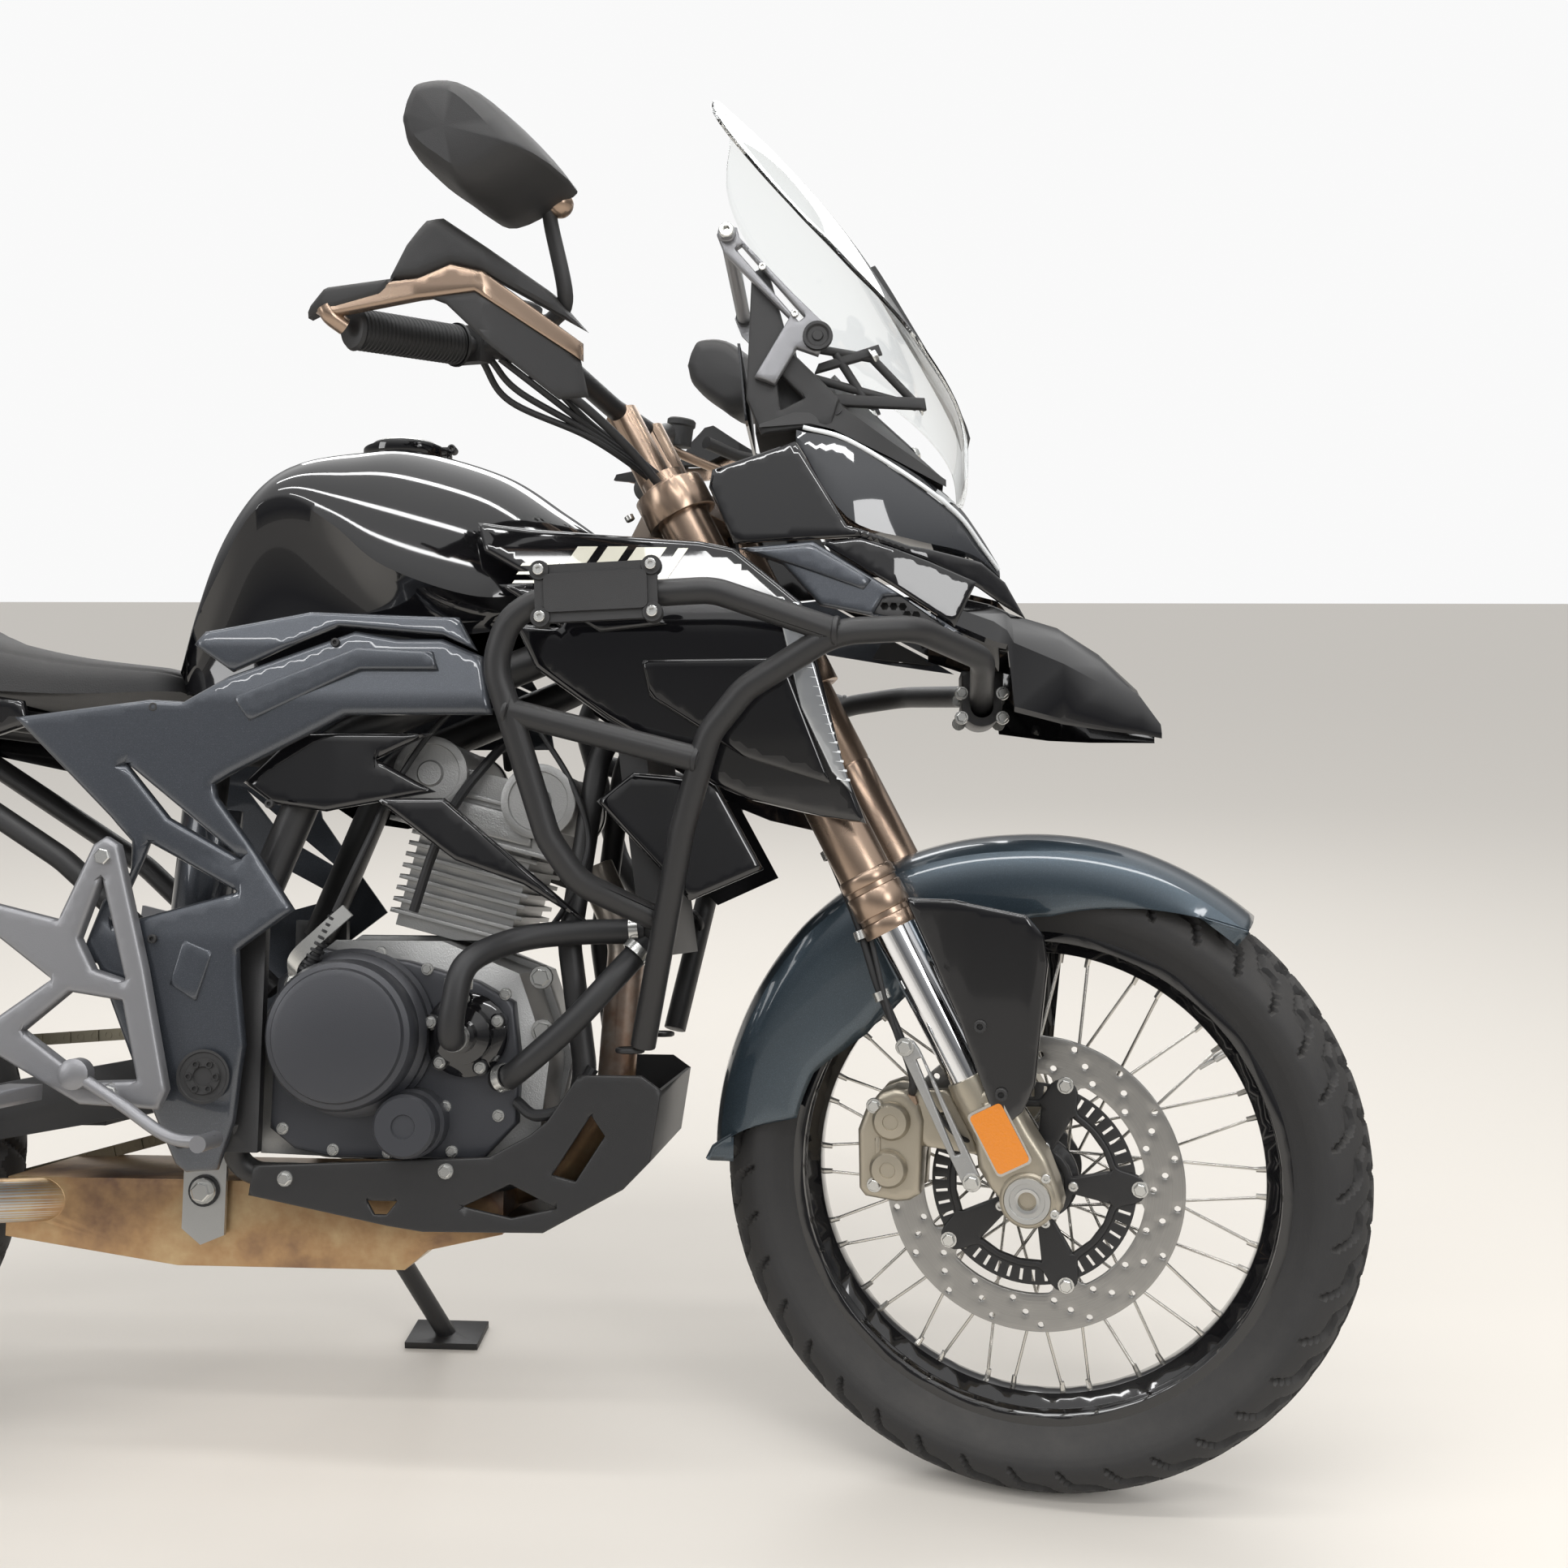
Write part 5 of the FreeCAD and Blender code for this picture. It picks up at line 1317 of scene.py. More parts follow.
def tyres():
    """Treaded tyres in place of the plain ones."""
    front = make_piece("front_tread", [tyre_surface(radius=FRONT_RADIUS, crown=58, half_width=55, bead=246,
                                                    half_rim=31, pitches=38) + FRONT_AXLE], STEERING,
                       "front_wheel", finish("Tyre Rubber"), crease=24)
    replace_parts(front, "front_tyre")
    rear = make_piece("rear_tread", [tyre_surface(radius=REAR_RADIUS, crown=68, half_width=65, bead=221,
                                                  half_rim=43, pitches=36) + REAR_AXLE], CHASSIS,
                      "rear_wheel", finish("Tyre Rubber"), crease=30)
    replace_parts(rear, "rear_tyre")


def wheel_fittings():
    """Bolts of the discs and hubs, spoke nipples and valves."""
    for name, axle, place, side, disc, well, half in (("front", FRONT_AXLE, STEERING, -56, 105, 229, 54),
                                                      ("rear", REAR_AXLE, CHASSIS, -65, 80, 204, 66)):
        body = name + "_wheel"
        bolts, nipples = [], []
        for i in range(5):
            turn = 2 * math.pi * i / 5
            way = np.array([math.cos(turn), 0, -math.sin(turn)])
            bolts += hex_bolt(axle + way * disc + (0, side + 0.5, 0), OUTWARD, 6.5)
            bolts.append(socket_screw(axle + way * 40 + (0, side - 0.5, 0), OUTWARD, 5))
        for i in range(18):
            for hand in (1, -1):
                turn = 2 * math.pi * i / 18 + math.radians(3.5) * hand
                spot = np.array([math.cos(turn), 0, math.sin(turn)])
                lean = (half / 2 if i % 2 else -half / 2) * 0.12
                nipples.append(lathe([(0, -12), (2.6, -12), (3.2, 0), (3.2, 3)], axle + spot * (well + 1)
                                     + (0, lean, 0), spot, sides=8))
        make_piece(name + "_disc_bolts", bolts, place, body, finish("Zinc Bolt"))
        make_piece(name + "_nipples", nipples, place, body, finish("Spoke Steel"))
        valve = axle + np.array([math.cos(0.6), 0, math.sin(0.6)]) * (well - 2)
        stem = lathe([(0, -30), (2.4, -30), (2.4, -12), (4, -11), (4, 2)], valve,
                     (math.cos(0.6), -0.2, math.sin(0.6)), sides=12)
        make_piece(name + "_valve", [stem], place, body, finish("Brushed Steel"))


def front_end():
    """Axle end, pinch bolts, guard screws and reflectors of the fork."""
    end = FRONT_AXLE + (0, -LEG_SIDE - 26, 0)
    rings = lathe([(9, 0), (9, 2.5), (12, 3), (12, 1.2), (17, 1.2), (17.5, 3), (22, 3), (23, 0)], end,
                  OUTWARD, sides=40)
    on_fork("axle_end", [rings], "Brushed Steel")
    face = -LEG_SIDE - 24
    bolts = []
    for x, z in ((1436, 318), (1428, 352)):
        bolts.append(socket_screw((x, face - 1, z), OUTWARD, 4.5))
    for x, z in ((1292, 474), (1357, 345)):
        bolts += hex_bolt((x, -125.6, z), OUTWARD, 7)
    for x, z in ((1256, 409), (1256, 330)):
        bolts += hex_bolt((x, -97, z), OUTWARD, 6)
    for x, z in ((1000, 1009), (1040, 1026)):
        bolts.append(socket_screw((x, -96, z), (-LEG[0], 0, -LEG[2]), 5))
    on_fork("fork_bolts", bolts, "Zinc Bolt")
    screws = [socket_screw((x, 125.3 * s, z), (0, s, 0), 6.5) for s in (-1, 1)
              for x, z in ((1366, 497), (1386, 432))]
    on_fork("guard_screws", screws, "Moulded Black")
    turned = tilted(rounded(17, 31, corner=4), (1384, 389), degrees=27.5)
    edge = tilted(rounded(19, 33.5, corner=5), (1384, 389), degrees=27.5)
    on_fork("reflector_frame", [slab(edge, face + 0.2, depth=-6), slab(edge, -face - 0.2, depth=6)],
            "Spoke Steel")
    on_fork("reflector", [slab(turned, face - 5.5, depth=-1.6), slab(turned, -face + 5.5, depth=1.6)],
            "Amber Reflector")


def fork_hoses():
    """Brake hose with its clips and banjo bolt, and the sensor cable."""
    hose = smooth_path([(1292, -84, 418), (1296, -100, 440), (1284, -106, 480), (1262, -104, 530),
                        (1240, -92, 590), (1208, -80, 660), (1168, -74, 740), (1128, -70, 830),
                        (1092, -66, 920), (1066, -80, 985), (1030, -130, 1052), (985, -190, 1105),
                        (946, -226, 1130)])
    on_fork("brake_hose", [swept(hose, 4.6, sides=12)], "Hose Rubber")
    cable = smooth_path([(1372, -72, 372), (1340, -94, 382), (1312, -106, 420), (1290, -112, 462),
                         (1270, -112, 520), (1250, -100, 590), (1216, -86, 664), (1176, -80, 742),
                         (1136, -76, 832), (1100, -60, 924)])
    on_fork("sensor_cable", [swept(cable, 2.6, sides=10)], "Hose Rubber")
    clips = [clip_ring(hose[i], hose[i + 1] - hose[i - 1], radius=7.5, width=9) for i in (34, 46, 60, 72)]
    on_fork("hose_clips", clips, "Zinc Bolt")
    banjo = [lathe([(0, 5), (7, 5), (8, 4), (8, -5)], (1292, -88, 414), OUTWARD, sides=6),
             lathe([(0, 3), (9, 3), (9, -3), (0, -3)], (1292, -84, 414), OUTWARD, sides=20)]
    on_fork("banjo_bolt", banjo, "Bronze Anodised")


def cockpit():
    """Grips, switch boxes, fluid pots, cables to the head, guard end caps and clamp bolts."""
    grips, boxes, cables, pots = [], [], [], []
    inner, outer = GRIP_ROOT, np.array([853, -403, 1131.0])
    way = (outer - inner) / np.linalg.norm(outer - inner)
    length = np.linalg.norm(outer - inner)
    profile = []
    for i in range(26):
        spot = 1 + i * (length - 4) / 26
        profile += [(17.2, spot), (18.1, spot + 0.8), (18.1, spot + 2.4), (17.2, spot + 3.0)]
    profile = [(17, 0), (20, 0.2), (20, 3)] + profile + [(19, length - 3), (17, length - 0.5)]
    rise = np.array([45, 110, 20.0])
    rise /= np.linalg.norm(rise)
    for flip in (1, -1):
        hand = np.array([1, flip, 1.0])
        grips.append(lathe(profile, inner * hand, way * hand, sides=28))
        box = inner + rise * 20
        boxes.append(ribbon([(box + (-4, -10, 0)) * hand, (box + (-4, 16, 4)) * hand], (0, 0, 17),
                            (15, 0, 0)))
        boxes.append(ribbon([(box + (-17, -6, -6)) * hand, (box + (-24, 12, -4)) * hand], (0, 0, 7),
                            (4, 0, 0)))
        pot = (inner + rise * 53 + (22, 0, 18)) * hand
        pots.append(lathe([(0, 22), (16, 22), (18, 20), (18, 14), (16, 12), (16, -12), (0, -14)], pot,
                          (0.15, 0, 1), sides=28))
        for shift in (-14, -5, 5, 14):
            line = smooth_path(np.array([(918 + shift, -246, 1140), (938 + shift, -225, 1118 + shift),
                                         (985, -165, 1084 + shift * 0.5), (1032, -105, 1046 + shift * 0.4),
                                         (1068, -62, 1004 + shift * 0.4),
                                         (1076 + shift * 0.5, -40, 962)]) * hand)
            cables.append(swept(line, 3.4, sides=10))
    on_fork("grips", grips, "Hose Rubber")
    on_fork("switch_boxes", boxes, "Moulded Black")
    on_fork("fluid_pots", pots, "Moulded Black")
    on_fork("bar_cables", cables, "Hose Rubber")
    line = [(805.8, 401.5), (837.8, 425.8), (929.8, 433.8)]
    cap = panel([(809, 1144), (812, 1152), (842, 1162), (905, 1163), (898, 1150), (850, 1143)],
                by_length(line), depth=13, roll=5, step=5)
    on_fork("guard_end_caps", pair(cap), "Moulded Black")
    bolts = [socket_screw((x, y * s, z), (-0.2, 0, 1), 5) for s in (1, -1)
             for x, y, z in ((957, 38, 1136), (957, 56, 1136))]
    bolts += [socket_screw((1017, 0, 1019), (-LEG[0], 0, -LEG[2]), 11)]
    on_fork("clamp_bolts", bolts, "Zinc Bolt")


def screen_fittings():
    """Screws of the screen and its arms, and the adjusting knobs."""
    bolts, knobs = [], []
    for s in (1, -1):
        bolts += hex_bolt((1234, 96 * s, 1168), (0.86, 0.1 * s, 0.5), 6.5)
        bolts += hex_bolt((1283, 82 * s, 1118), (0.9, 0.1 * s, 0.42), 6.5)
        bolts.append(socket_screw((1083, 124.5 * s, 1291), (0, s, 0), 8))
        bolts.append(socket_screw((1120, 119.2 * s, 1255), (0, s, 0), 4))
        bolts.append(socket_screw((1154, 119.2 * s, 1205), (0, s, 0), 4))
        knobs.append(lathe([(0, 4), (5, 4), (6, 2), (10, 2), (12, 4), (15, 4), (15.6, 0)],
                           (1178, 130.2 * s, 1177), (0, s, 0), sides=24))
    on_chassis("screen_bolts", bolts, "Zinc Bolt")
    on_chassis("screen_knobs", knobs, "Moulded Black")


def lamps():
    """Light guides along the lens edges, the strips' ribs, the tail lamp's bars and the rear indicators."""
    guides = []
    for s in (1, -1):
        top = smooth_path(np.array([(1164, 129, 1081), (1209, 127.5, 1068), (1272, 109, 1035),
                                    (1321, 84, 1004), (1350, 57, 974), (1368, 37, 955)]) * (1, s, 1), 8)
        guides.append(swept(top + (0, 1.2 * s, 1.2), 2.4, sides=10))
    on_chassis("light_guides", guides, "Lamp Guide")
    ribs = []
    for s in (1, -1):
        for z in range(722, 886, 9):
            x = float(np.interp(z, [708, 742, 850, 892], [1214, 1202, 1166, 1156]))
            y = float(np.interp(z, [665, 760, 872, 900], [154.3, 170.3, 186.3, 182]))
            ribs.append(ribbon([(x - 8, (y + 0.2) * s, z), (x + 5, (y + 0.2) * s, z - 2)], (0, 0, 1.1),
                               (0, 0.7 * s, 0)))
    on_chassis("strip_ribs", ribs, "Lamp Guide")
    bars = [ribbon([(-373, -50, z), (-373, 50, z)], (1, 0, 0), (0, 0, 2)) for z in (912, 920, 928)]
    on_chassis("tail_bars", bars, "Lamp Guide")
    indicators, stalks = [], []
    for s in (1, -1):
        indicators.append(lathe([(0, -15), (9, -14), (11, -6), (10, 8), (6, 15), (0, 17)],
                                (-352, 128 * s, 884), (0.2, s, 0), sides=20))
        stalks.append(swept(np.linspace((-348, 58 * s, 888), (-351, 116 * s, 884), 4), 5, sides=12))
    on_chassis("rear_indicators", indicators, "Amber Reflector")
    on_chassis("indicator_stalks", stalks, "Hose Rubber")


def on_shroud(x, z, s):
    """Point just outside the shroud's face."""
    return np.stack(np.broadcast_arrays(x, (by_height(SHROUD_PROFILE)(x, z) + 0.45) * s, z), -1)


def prints():
    """Plain slanted bars and three short stripes on the shrouds."""
    bars = []
    for s in (1, -1):
        for start, end, low, high in ((918, 938, 908, 950), (946, 966, 905, 950), (974, 1004, 903, 949),
                                      (1014, 1024, 900, 948)):
            z = np.linspace(low, high, 9)
            slant = (z - low) * 0.62
            bars.append(np.stack([on_shroud(start + slant, z, s), on_shroud(end + slant, z, s)]))
        for drop in (0, 9, 18):
            span = np.array([888 - drop * 0.4, 925 - drop])
            z = np.full(2, 930.0 - drop)
            bars.append(np.stack([on_shroud(span, z, s), on_shroud(span + 2, z + 3, s)]))
    on_chassis("shroud_bars", bars, "Cream Print")


COVER_HEIGHTS = [325, 430, 560, 700, 800, 872]
COVER_SIDES = [142, 158, 163, 158, 162, 155]


def bodywork_fittings():
    """Bar pads' frames and screws, weld beads, and bolts and round caps of the side covers."""
    frames, screws, black, welds = [], [], [], []
    pad, pad_tilt = (980, 884), 2.8
    for s in (1, -1):
        frames.append(slab(tilted(rounded(57, 27, corner=8), pad, degrees=pad_tilt), 262 * s, depth=7 * s))
        frames.append(slab(tilted(rounded(48, 18, corner=6), pad, degrees=pad_tilt), 269 * s, depth=3 * s))
        for x, z in tilted(((-52, 22), (-52, -22), (52, 22), (52, -22)), pad, degrees=pad_tilt):
            frames.append(lathe([(0, 2), (9, 2), (9.5, 0), (9.5, -8)], (x, 269 * s, z), (0, s, 0), sides=18))
            screws.append(socket_screw((x, 271 * s, z), (0, s, 0), 5.2))
        for x, y, z, aim in ((894, 235, 777, (-0.95, -0.15, 0.25)), (1070, 210, 735, (0.95, 0.15, -0.25)),
                             (1201, 250, 850, (1, 0.1, -0.1)), (998, 122, 455, (0, 0, 1)),
                             (1030, 150, 584, (0.6, 0.6, 0.5))):
            welds.append(lathe([(12.0, -3), (14.2, -2), (14.8, 0), (14.2, 2), (12.0, 3)], (x, y * s, z),
                               np.array(aim) * (1, s, 1), sides=22))
        for x, z, side, radius in ((484, 640, 178, 8), (502, 411, 178, 8)):
            screws += hex_bolt((x, (side + 0.2) * s, z), (0, s, 0), radius)
        for x, z in ((520, 790), (700, 856), (640, 694), (560, 360), (530, 560)):
            side = float(np.interp(z, COVER_HEIGHTS, COVER_SIDES)) + 0.1
            black.append(socket_screw((x, side * s, z), (0, s, 0), 4.5))
        black.append(lathe([(0, 1), (9, 1), (10, 3), (17, 3), (18, 1.2), (23, 1.2), (24, 2.4), (26.5, 2.2)],
                           (586, 162 * s, 427), (0, s, 0), sides=36))
        stud = [(0, 1.2), (2, 1.2), (2.6, 3.4), (3.4, 3.4), (3.6, 1)]
        for x, z in round_spots((586, 427), 13.5, np.arange(6) * math.pi / 3):
            black.append(lathe(stud, (x, 163.5 * s, z), (0, s, 0), sides=10))
        for x, z in ((1330, 826), (1373, 826), (1330, 800), (1373, 800)):
            screws += hex_bolt((x, 26.5 * s, z), (0, s, 0), 5.5)
        for x, z in ((660, 330), (820, 340)):
            screws += hex_bolt((x, 133.5 * s, z - 4), (0, s, 0), 6)
    screws += hex_bolt((562, -95, 306), OUTWARD, 10)
    on_chassis("pad_frames", frames, "Moulded Black")
    on_chassis("body_bolts", screws, "Zinc Bolt")
    on_chassis("cover_screws", black, "Moulded Black")
    on_chassis("weld_beads", welds, "Black Powder Coat")


def clamp_and_hanger():
    """Clamp of the crash bars' front, and the hanger of the exhaust with its bush."""
    barrel = lathe([(12, -26), (21, -26), (21.5, -25), (21.5, 25), (21, 26), (12, 26)], (1351.5, 0, 812),
                   (0, 1, 0), sides=36)
    foot = panel([(1330, 826), (1374, 826), (1374, 850), (1330, 850)], 26, depth=52, roll=3)
    on_chassis("bar_clamp", [barrel, foot], "Black Powder Coat")
    hanger = slab([(540, 340), (566, 352), (584, 336), (584, 262), (560, 252), (540, 268)], -86, depth=-5)
    on_chassis("exhaust_hanger", [hanger], "Brushed Steel")
    rubber = lathe([(0, 4), (12, 4), (14, 2), (16, 2), (16, -6)], (562, -91, 306), OUTWARD, sides=26)
    on_chassis("hanger_bush", [rubber], "Hose Rubber")


def cap_rings():
    """Rim and lock of the fuel cap."""
    ring = lathe([(34, 0), (35, 1.6), (38, 1.6), (39, 0)], (720, 0, 1102.3), (0, 0, 1), sides=48)
    lock = lathe([(0, 1), (8, 1), (9, 2.5), (11, 2.5), (12, 0)], (716, 0, 1102.3), (0, 0, 1), sides=28)
    make_piece("cap_trim", [ring, lock], CHASSIS, "fuel_cap", finish("Brushed Steel"))


def engine_bolts():
    """Bolts of the covers, the pump and the head, and the hose clips."""
    bolts, clips = [], []
    for x, z in round_spots(PUMP, 36, PUMP_EARS):
        bolts += hex_bolt((x, -128.3, z), OUTWARD, 4.6)
    for x, z in ((648, 372), (660, 548), (742, 548), (790, 532), (700, 352), (756, 350), (820, 352),
                 (866, 388), (870, 508), (812, 396), (752, 392)):
        bolts += hex_bolt((x, -112.3, z), OUTWARD, 4.8)
    for x, z in ((905, 525), (908, 472)):
        bolts += hex_bolt((x, -108.3, z), OUTWARD, 9)
    for x, z in ((783 + 24, 381), (783 - 24, 381)):
        bolts.append(socket_screw((x, -134, z), OUTWARD, 4))
    for s in (1, -1):
        for x, z in on_head((-66, 118), (-20, 120), (24, 120), (70, 118), (-66, 142), (70, 142)):
            bolts += hex_bolt((x, 82.4 * s, z), (0, s, 0), 4.6)
    on_chassis("engine_bolts", bolts, "Zinc Bolt")
    for spot, aim in (((833, -164, 468), (0, 1, 0)), ((838, -174, 520), (0.05, 0, 1)),
                      ((1000, -119, 573), (1, 0, 0.1)), ((874, -128.5, 427), (0.8, -0.5, 0.3)),
                      ((1004, -131, 553), (0.6, 0.25, 0.7))):
        clips.append(clip_ring(spot, aim, radius=12.2, width=9, wall=1.6))
    on_chassis("hose_clamps", clips, "Zinc Bolt")


def engine_fittings():
    """Clutch arm with its boot and cable, leads, and the radiator's core."""
    arm = ribbon(smooth_path([(660, -128, 516), (664, -140, 540), (690, -142, 566), (716, -140, 590)], 6),
                 (5, 0, -5), (0, 2, 0))
    knuckle = lathe([(0, 8), (9, 8), (10, 6), (10, -12), (0, -12)], (660, -126, 514), (0.3, -0.5, 0.8),
                    sides=20)
    on_chassis("clutch_arm", [arm, knuckle], "Zinc Bolt")
    boot = []
    for i in range(9):
        boot += [(9 - 0.4 * i, 7.0 * i), (9 - 0.4 * i, 7.0 * i + 2.5), (6.2 - 0.3 * i, 7.0 * i + 3.5),
                 (6.2 - 0.3 * i, 7.0 * i + 6)]
    way = np.array([0.42, 0, 0.9])
    on_chassis("clutch_boot", [lathe([(0, -1)] + boot + [(0, 64)], (676, -138, 530), way, sides=20)],
               "Hose Rubber")
    cable = smooth_path([(702, -138, 588), (716, -136, 622), (732, -128, 664), (752, -118, 716),
                         (800, -104, 790), (880, -84, 852)])
    on_chassis("clutch_cable", [swept(cable, 3.2, sides=10)], "Hose Rubber")
    leads = [smooth_path([(846, -20, 745), (850, -60, 762), (838, -92, 740), (812, -104, 700),
                          (790, -104, 650), (770, -98, 590)]),
             smooth_path([(900, -96, 560), (930, -110, 600), (950, -108, 660), (930, -96, 720),
                          (890, -80, 780)]), smooth_path([(884, -112, 402), (906, -122, 390),
                                                          (938, -118, 400), (960, -112, 436)])]
    on_chassis("engine_leads", [swept(lead, radius, sides=10) for lead, radius in zip(leads, (5, 3, 6))],
               "Hose Rubber")
    fins = []
    for i in range(26):
        up = 6 + i * 7.8
        x, z = tilted([(26.6, up)], (WHEELBASE - 400, 545), degrees=8)[0]
        base = np.array([x, 0, z])
        fins.append(ribbon([base + (0.5, -108, 0), base + (0.5, 108, 0)], (0.6, 0, 0), (0, 0, 1.6)))
    on_chassis("radiator_fins", fins, "Satin Grey Casting")


def seat():
    """Stepped seat with round shoulders, a welt along each side and a seam where the step begins."""
    stations = smooth_path([(508, 818, 845, 86), (393, 808, 857, 135), (279, 819, 887, 142),
                            (164, 862, 935, 133), (49, 884, 951, 120), (-65, 891, 956, 106),
                            (-180, 902, 957, 88)], 12)
    shrink = soft_step(np.minimum(508 - stations[:, 0], stations[:, 0] + 180), -1, 16) * 0.12 + 0.88
    turn = np.linspace(0, math.pi, 61)
    power_y, power_z = 0.42, 0.5
    across = np.sign(np.cos(turn)) * abs(np.cos(turn))**power_y
    rise = np.sin(turn)**power_z
    low, top, half = stations[:, 1:2], stations[:, 2:3], stations[:, 3:4] * shrink[:, None]
    welt = -1.6 * np.exp(-((rise[None] - 0.72) / 0.035)**2)
    seam = -2.0 * np.exp(-((stations[:, :1] - 232) / 5)**2) * soft_step(rise, 0.2, 0.7)[None]
    y = -(half + welt + seam * 0.4) * across[None]
    z = low + (top - low) * rise[None] * shrink[:, None] + (welt + seam) * rise[None]
    x = np.broadcast_to(stations[:, :1], y.shape)
    grid = np.stack([x, y, z], -1)
    grid = np.concatenate([grid, grid[:, :1]], 1)
    item = on_chassis("padded_seat", [end_caps(grid)], "Seat Cover", crease=60)
    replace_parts(item, "seat")


# Stage

def area_lamp(name, place, aim, width, height, power, colour=(1.0, 1.0, 1.0)):
    """Rectangular lamp that looks from its place towards a point."""
    lamp = bpy.data.lights.new(name, "AREA")
    lamp.shape = "RECTANGLE"
    lamp.size, lamp.size_y = width, height
    lamp.energy = power
    lamp.color = colour
    item = bpy.data.objects.new(name, lamp)
    bpy.context.scene.collection.objects.link(item)
    item.location = place
    look = np.array(aim, float) - np.array(place, float)
    turn = math.atan2(-look[0], look[1])
    item.rotation_euler = (math.atan2(math.hypot(look[0], look[1]), -look[2]), 0, turn)
    return item


def make_floor():
    """Wide plain floor with a faint gloss."""
    mesh = bpy.data.meshes.new("floor")
    half = 40.0
    mesh.from_pydata([(-half, -half, 0), (half, -half, 0), (half, half, 0), (-half, half, 0)], [],
                     [(0, 1, 2, 3)])
    item = bpy.data.objects.new("floor", mesh)
    bpy.context.scene.collection.objects.link(item)
    mesh.materials.append(coat("Pale Floor", (0.7, 0.66, 0.6), roughness=0.4, specular_ior_level=0.12))


def make_world():
    """Soft even light: pale backdrop to camera and glass, pale ceiling over grey walls in reflections."""
    world = bpy.data.worlds.new("studio")
    bpy.context.scene.world = world
    world.use_nodes = True
    tree = world.node_tree
    shade = tree.nodes["Background"]
    shade.inputs["Color"].default_value = (0.97, 0.98, 1.0, 1.0)
    shade.inputs["Strength"].default_value = 0.9
    seen = tree.nodes.new("ShaderNodeBackground")
    seen.inputs["Color"].default_value = (0.95, 0.95, 0.95, 1.0)
    place = tree.nodes.new("ShaderNodeTexCoord")
    parts = tree.nodes.new("ShaderNodeSeparateXYZ")
    tree.links.new(place.outputs["Generated"], parts.inputs[0])
    mirrored = tree.nodes.new("ShaderNodeBackground")
    walls = ramp(tree, parts.outputs["Z"], [(0.0, (0.3, 0.29, 0.27)), (0.12, (0.13, 0.13, 0.135)),
                                            (0.3, (0.3, 0.3, 0.3)), (0.55, (0.95, 0.95, 0.95))])
    tree.links.new(walls, mirrored.inputs["Color"])
    rays = tree.nodes.new("ShaderNodeLightPath")
    direct = math_node(tree, "MAXIMUM", rays.outputs["Is Camera Ray"], rays.outputs["Is Transmission Ray"])
    shown = tree.nodes.new("ShaderNodeMixShader")
    tree.links.new(rays.outputs["Is Glossy Ray"], shown.inputs["Fac"])
    tree.links.new(shade.outputs[0], shown.inputs[1])
    tree.links.new(mirrored.outputs[0], shown.inputs[2])
    mix = tree.nodes.new("ShaderNodeMixShader")
    tree.links.new(direct, mix.inputs["Fac"])
    tree.links.new(shown.outputs[0], mix.inputs[1])
    tree.links.new(seen.outputs[0], mix.inputs[2])
    tree.links.new(mix.outputs[0], tree.nodes["World Output"].inputs["Surface"])


def make_camera(stage):
    """Camera at the photo's place: its height, pitch and turn, and the front wheel's place in its view."""
    turn = math.radians(stage.turn)
    wheel = to_row(FRONT_AXLE, STEERING)
    away = np.array([stage.wheel_side, stage.wheel_depth])
    spin = np.array([[math.cos(turn), -math.sin(turn)], [math.sin(turn), math.cos(turn)]])
    foot = wheel[:2] - spin @ away
    data = bpy.data.cameras.new("camera")
    data.lens = stage.lens
    data.sensor_width = 36.0
    item = bpy.data.objects.new("camera", data)
    bpy.context.scene.collection.objects.link(item)
    item.location = (*foot, stage.height)
    item.rotation_euler = (math.pi / 2 - math.radians(stage.pitch), 0, turn)
    bpy.context.scene.camera = item


class StageSettings(bpy.types.PropertyGroup):
    height: bpy.props.FloatProperty(name="Camera Height", description="Height of the camera above the floor",
                                    default=0.948, subtype="DISTANCE", unit="LENGTH")
    pitch: bpy.props.FloatProperty(name="Camera Pitch", description="Degrees that the camera looks down",
                                   default=7.825)
    turn: bpy.props.FloatProperty(name="Camera Turn",
                                  description="Degrees that the camera is turned to the left", default=3.0)
    lens: bpy.props.FloatProperty(name="Lens", description="Focal length in millimetres on a 36 mm sensor",
                                  default=36.0 * 1950 / 1932)
    wheel_side: bpy.props.FloatProperty(name="Wheel Side",
                                        description="Front axle's distance to the right of the camera",
                                        default=0.263, subtype="DISTANCE", unit="LENGTH")
    wheel_depth: bpy.props.FloatProperty(name="Wheel Depth",
                                         description="Front axle's distance ahead of the camera",
                                         default=1.573, subtype="DISTANCE", unit="LENGTH")


class MOTORCYCLE_OT_finishes(bpy.types.Operator):
    """Give every part of the frame its finishes"""
    bl_idname = "motorcycle.finishes"
    bl_label = "Finishes"

    def execute(self, context):
        for node, name in NODE_FINISH.items():
            dress(node, name)
        return {"FINISHED"}


class MOTORCYCLE_OT_wheels(bpy.types.Operator):
    """Make the treaded tyres, brake discs, wheel fittings and chain"""
    bl_idname = "motorcycle.wheels"
    bl_label = "Wheels"

    def execute(self, context):
        tyres()
        brake_disc("front", FRONT_AXLE, side=53, outer=149, inner=111, hub=31, place=STEERING,
                   body="front_wheel", steel="Front Disc Steel")
        brake_disc("rear", REAR_AXLE, side=62, outer=120, inner=86, hub=35, place=CHASSIS,
                   body="rear_wheel", steel="Rear Disc Steel")
        wheel_fittings()
        chain()
        return {"FINISHED"}


class MOTORCYCLE_OT_steering(bpy.types.Operator):
    """Make the fork, its mudguard and caliper, the bars' guards and mirrors, and their hoses and cables"""
    bl_idname = "motorcycle.steering"
    bl_label = "Fork and Bars"

    def execute(self, context):
        fork_forms()
        guard_forms()
        mirror_forms()
        front_end()
        fork_hoses()
        cockpit()
        return {"FINISHED"}


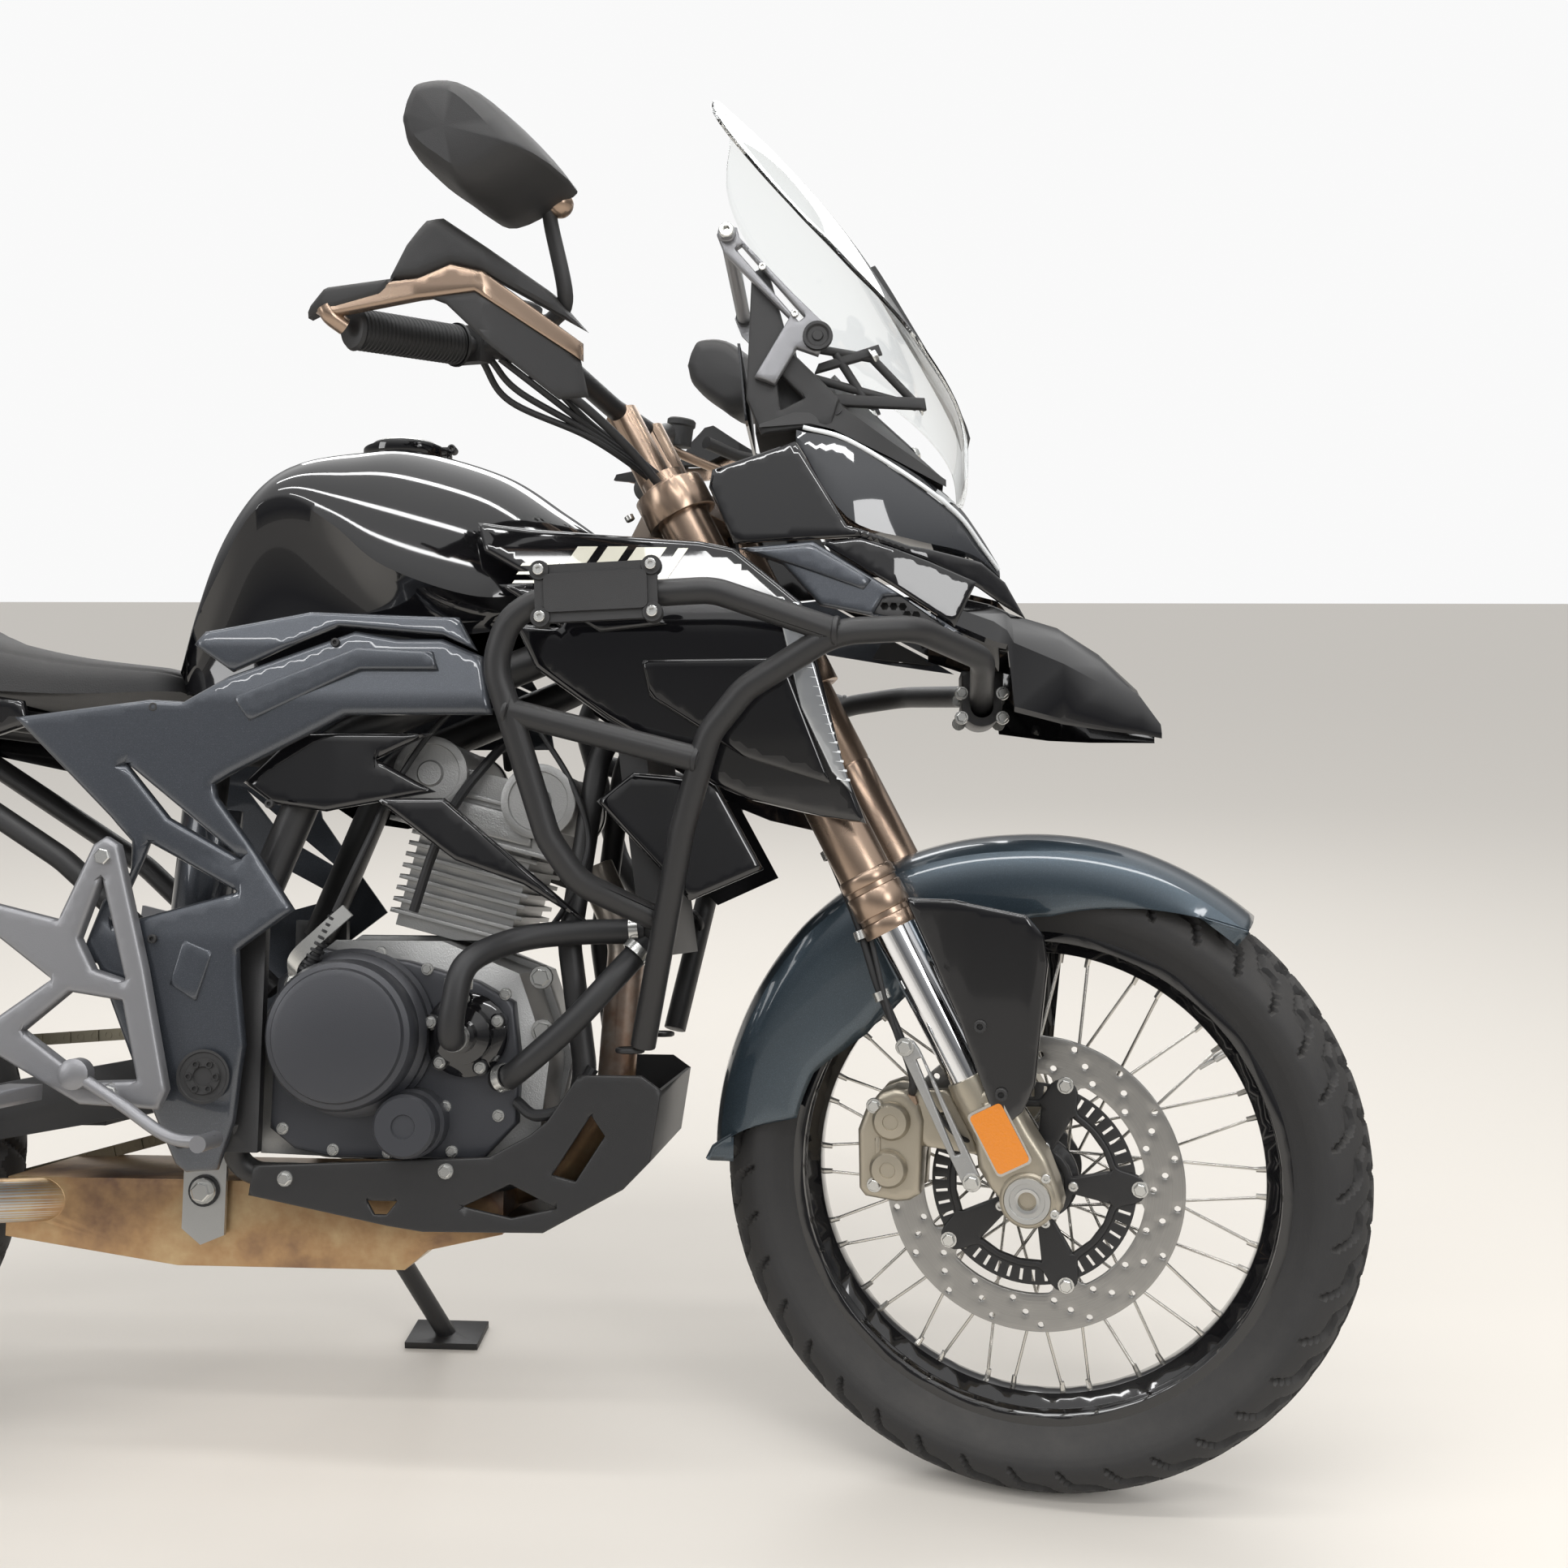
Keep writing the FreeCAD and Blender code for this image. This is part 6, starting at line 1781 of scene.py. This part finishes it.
class MOTORCYCLE_OT_bodywork(bpy.types.Operator):
    """Make the tank, panels, beak, lamps and screen with their fittings and prints"""
    bl_idname = "motorcycle.bodywork"
    bl_label = "Bodywork"

    def execute(self, context):
        tank()
        side_forms()
        shroud_forms()
        tail_forms()
        beak_form()
        scoop_forms()
        lamp_form()
        screen_forms()
        screen_bracket()
        screen_fittings()
        lamps()
        prints()
        clamp_and_hanger()
        bodywork_fittings()
        cap_rings()
        return {"FINISHED"}


class MOTORCYCLE_OT_engine(bpy.types.Operator):
    """Make the engine's castings, fins, hoses, bolts and leads, the skid plate and the footrests"""
    bl_idname = "motorcycle.engine"
    bl_label = "Engine"

    def execute(self, context):
        cover_forms()
        engine_ribs()
        water_hoses()
        skid_plate()
        footrest_forms()
        engine_bolts()
        engine_fittings()
        return {"FINISHED"}


class MOTORCYCLE_OT_seat(bpy.types.Operator):
    """Make the padded seat"""
    bl_idname = "motorcycle.seat"
    bl_label = "Seat"

    def execute(self, context):
        seat()
        return {"FINISHED"}


class MOTORCYCLE_OT_stage(bpy.types.Operator):
    """Make the floor, the studio light and the camera"""
    bl_idname = "motorcycle.stage"
    bl_label = "Stage"

    def execute(self, context):
        make_floor()
        make_world()
        make_camera(context.scene.motorcycle_stage)
        for i, y in enumerate((-2.4, -1.1, 0.3)):
            area_lamp("ceiling strip %d" % i, (0.2, y, 3.0), (0.2, y * 0.4, 0.5), width=3.6, height=0.14,
                      power=24)
        area_lamp("front lamp", (2.8, -3.0, 2.2), (0.2, 0.0, 0.6), width=1.2, height=1.2, power=30)
        area_lamp("rear lamp", (-3.0, -2.2, 1.8), (-0.2, 0.0, 0.5), width=1.2, height=1.4, power=24)
        area_lamp("back lamp", (0.0, 3.0, 2.6), (0.1, 0.0, 0.8), width=3.0, height=0.8, power=26)
        context.scene.view_settings.view_transform = "Standard"
        return {"FINISHED"}


class MOTORCYCLE_PT_panel(bpy.types.Panel):
    bl_label = "Motorcycle"
    bl_idname = "MOTORCYCLE_PT_panel"
    bl_space_type = "VIEW_3D"
    bl_region_type = "UI"
    bl_category = "Motorcycle"

    def draw(self, context):
        for step in STEPS:
            self.layout.operator(step.bl_idname)


STEPS = (MOTORCYCLE_OT_finishes, MOTORCYCLE_OT_wheels, MOTORCYCLE_OT_steering, MOTORCYCLE_OT_bodywork,
         MOTORCYCLE_OT_engine, MOTORCYCLE_OT_seat, MOTORCYCLE_OT_stage)
CLASSES = (StageSettings, *STEPS, MOTORCYCLE_PT_panel)


def register():
    for item in CLASSES:
        bpy.utils.register_class(item)
    bpy.types.Scene.motorcycle_stage = bpy.props.PointerProperty(type=StageSettings)


def unregister():
    del bpy.types.Scene.motorcycle_stage
    for item in reversed(CLASSES):
        bpy.utils.unregister_class(item)


def main():
    register()
    for step in STEPS:
        getattr(bpy.ops.motorcycle, step.bl_idname.split(".")[1])()


if __name__ == "__main__":
    main()
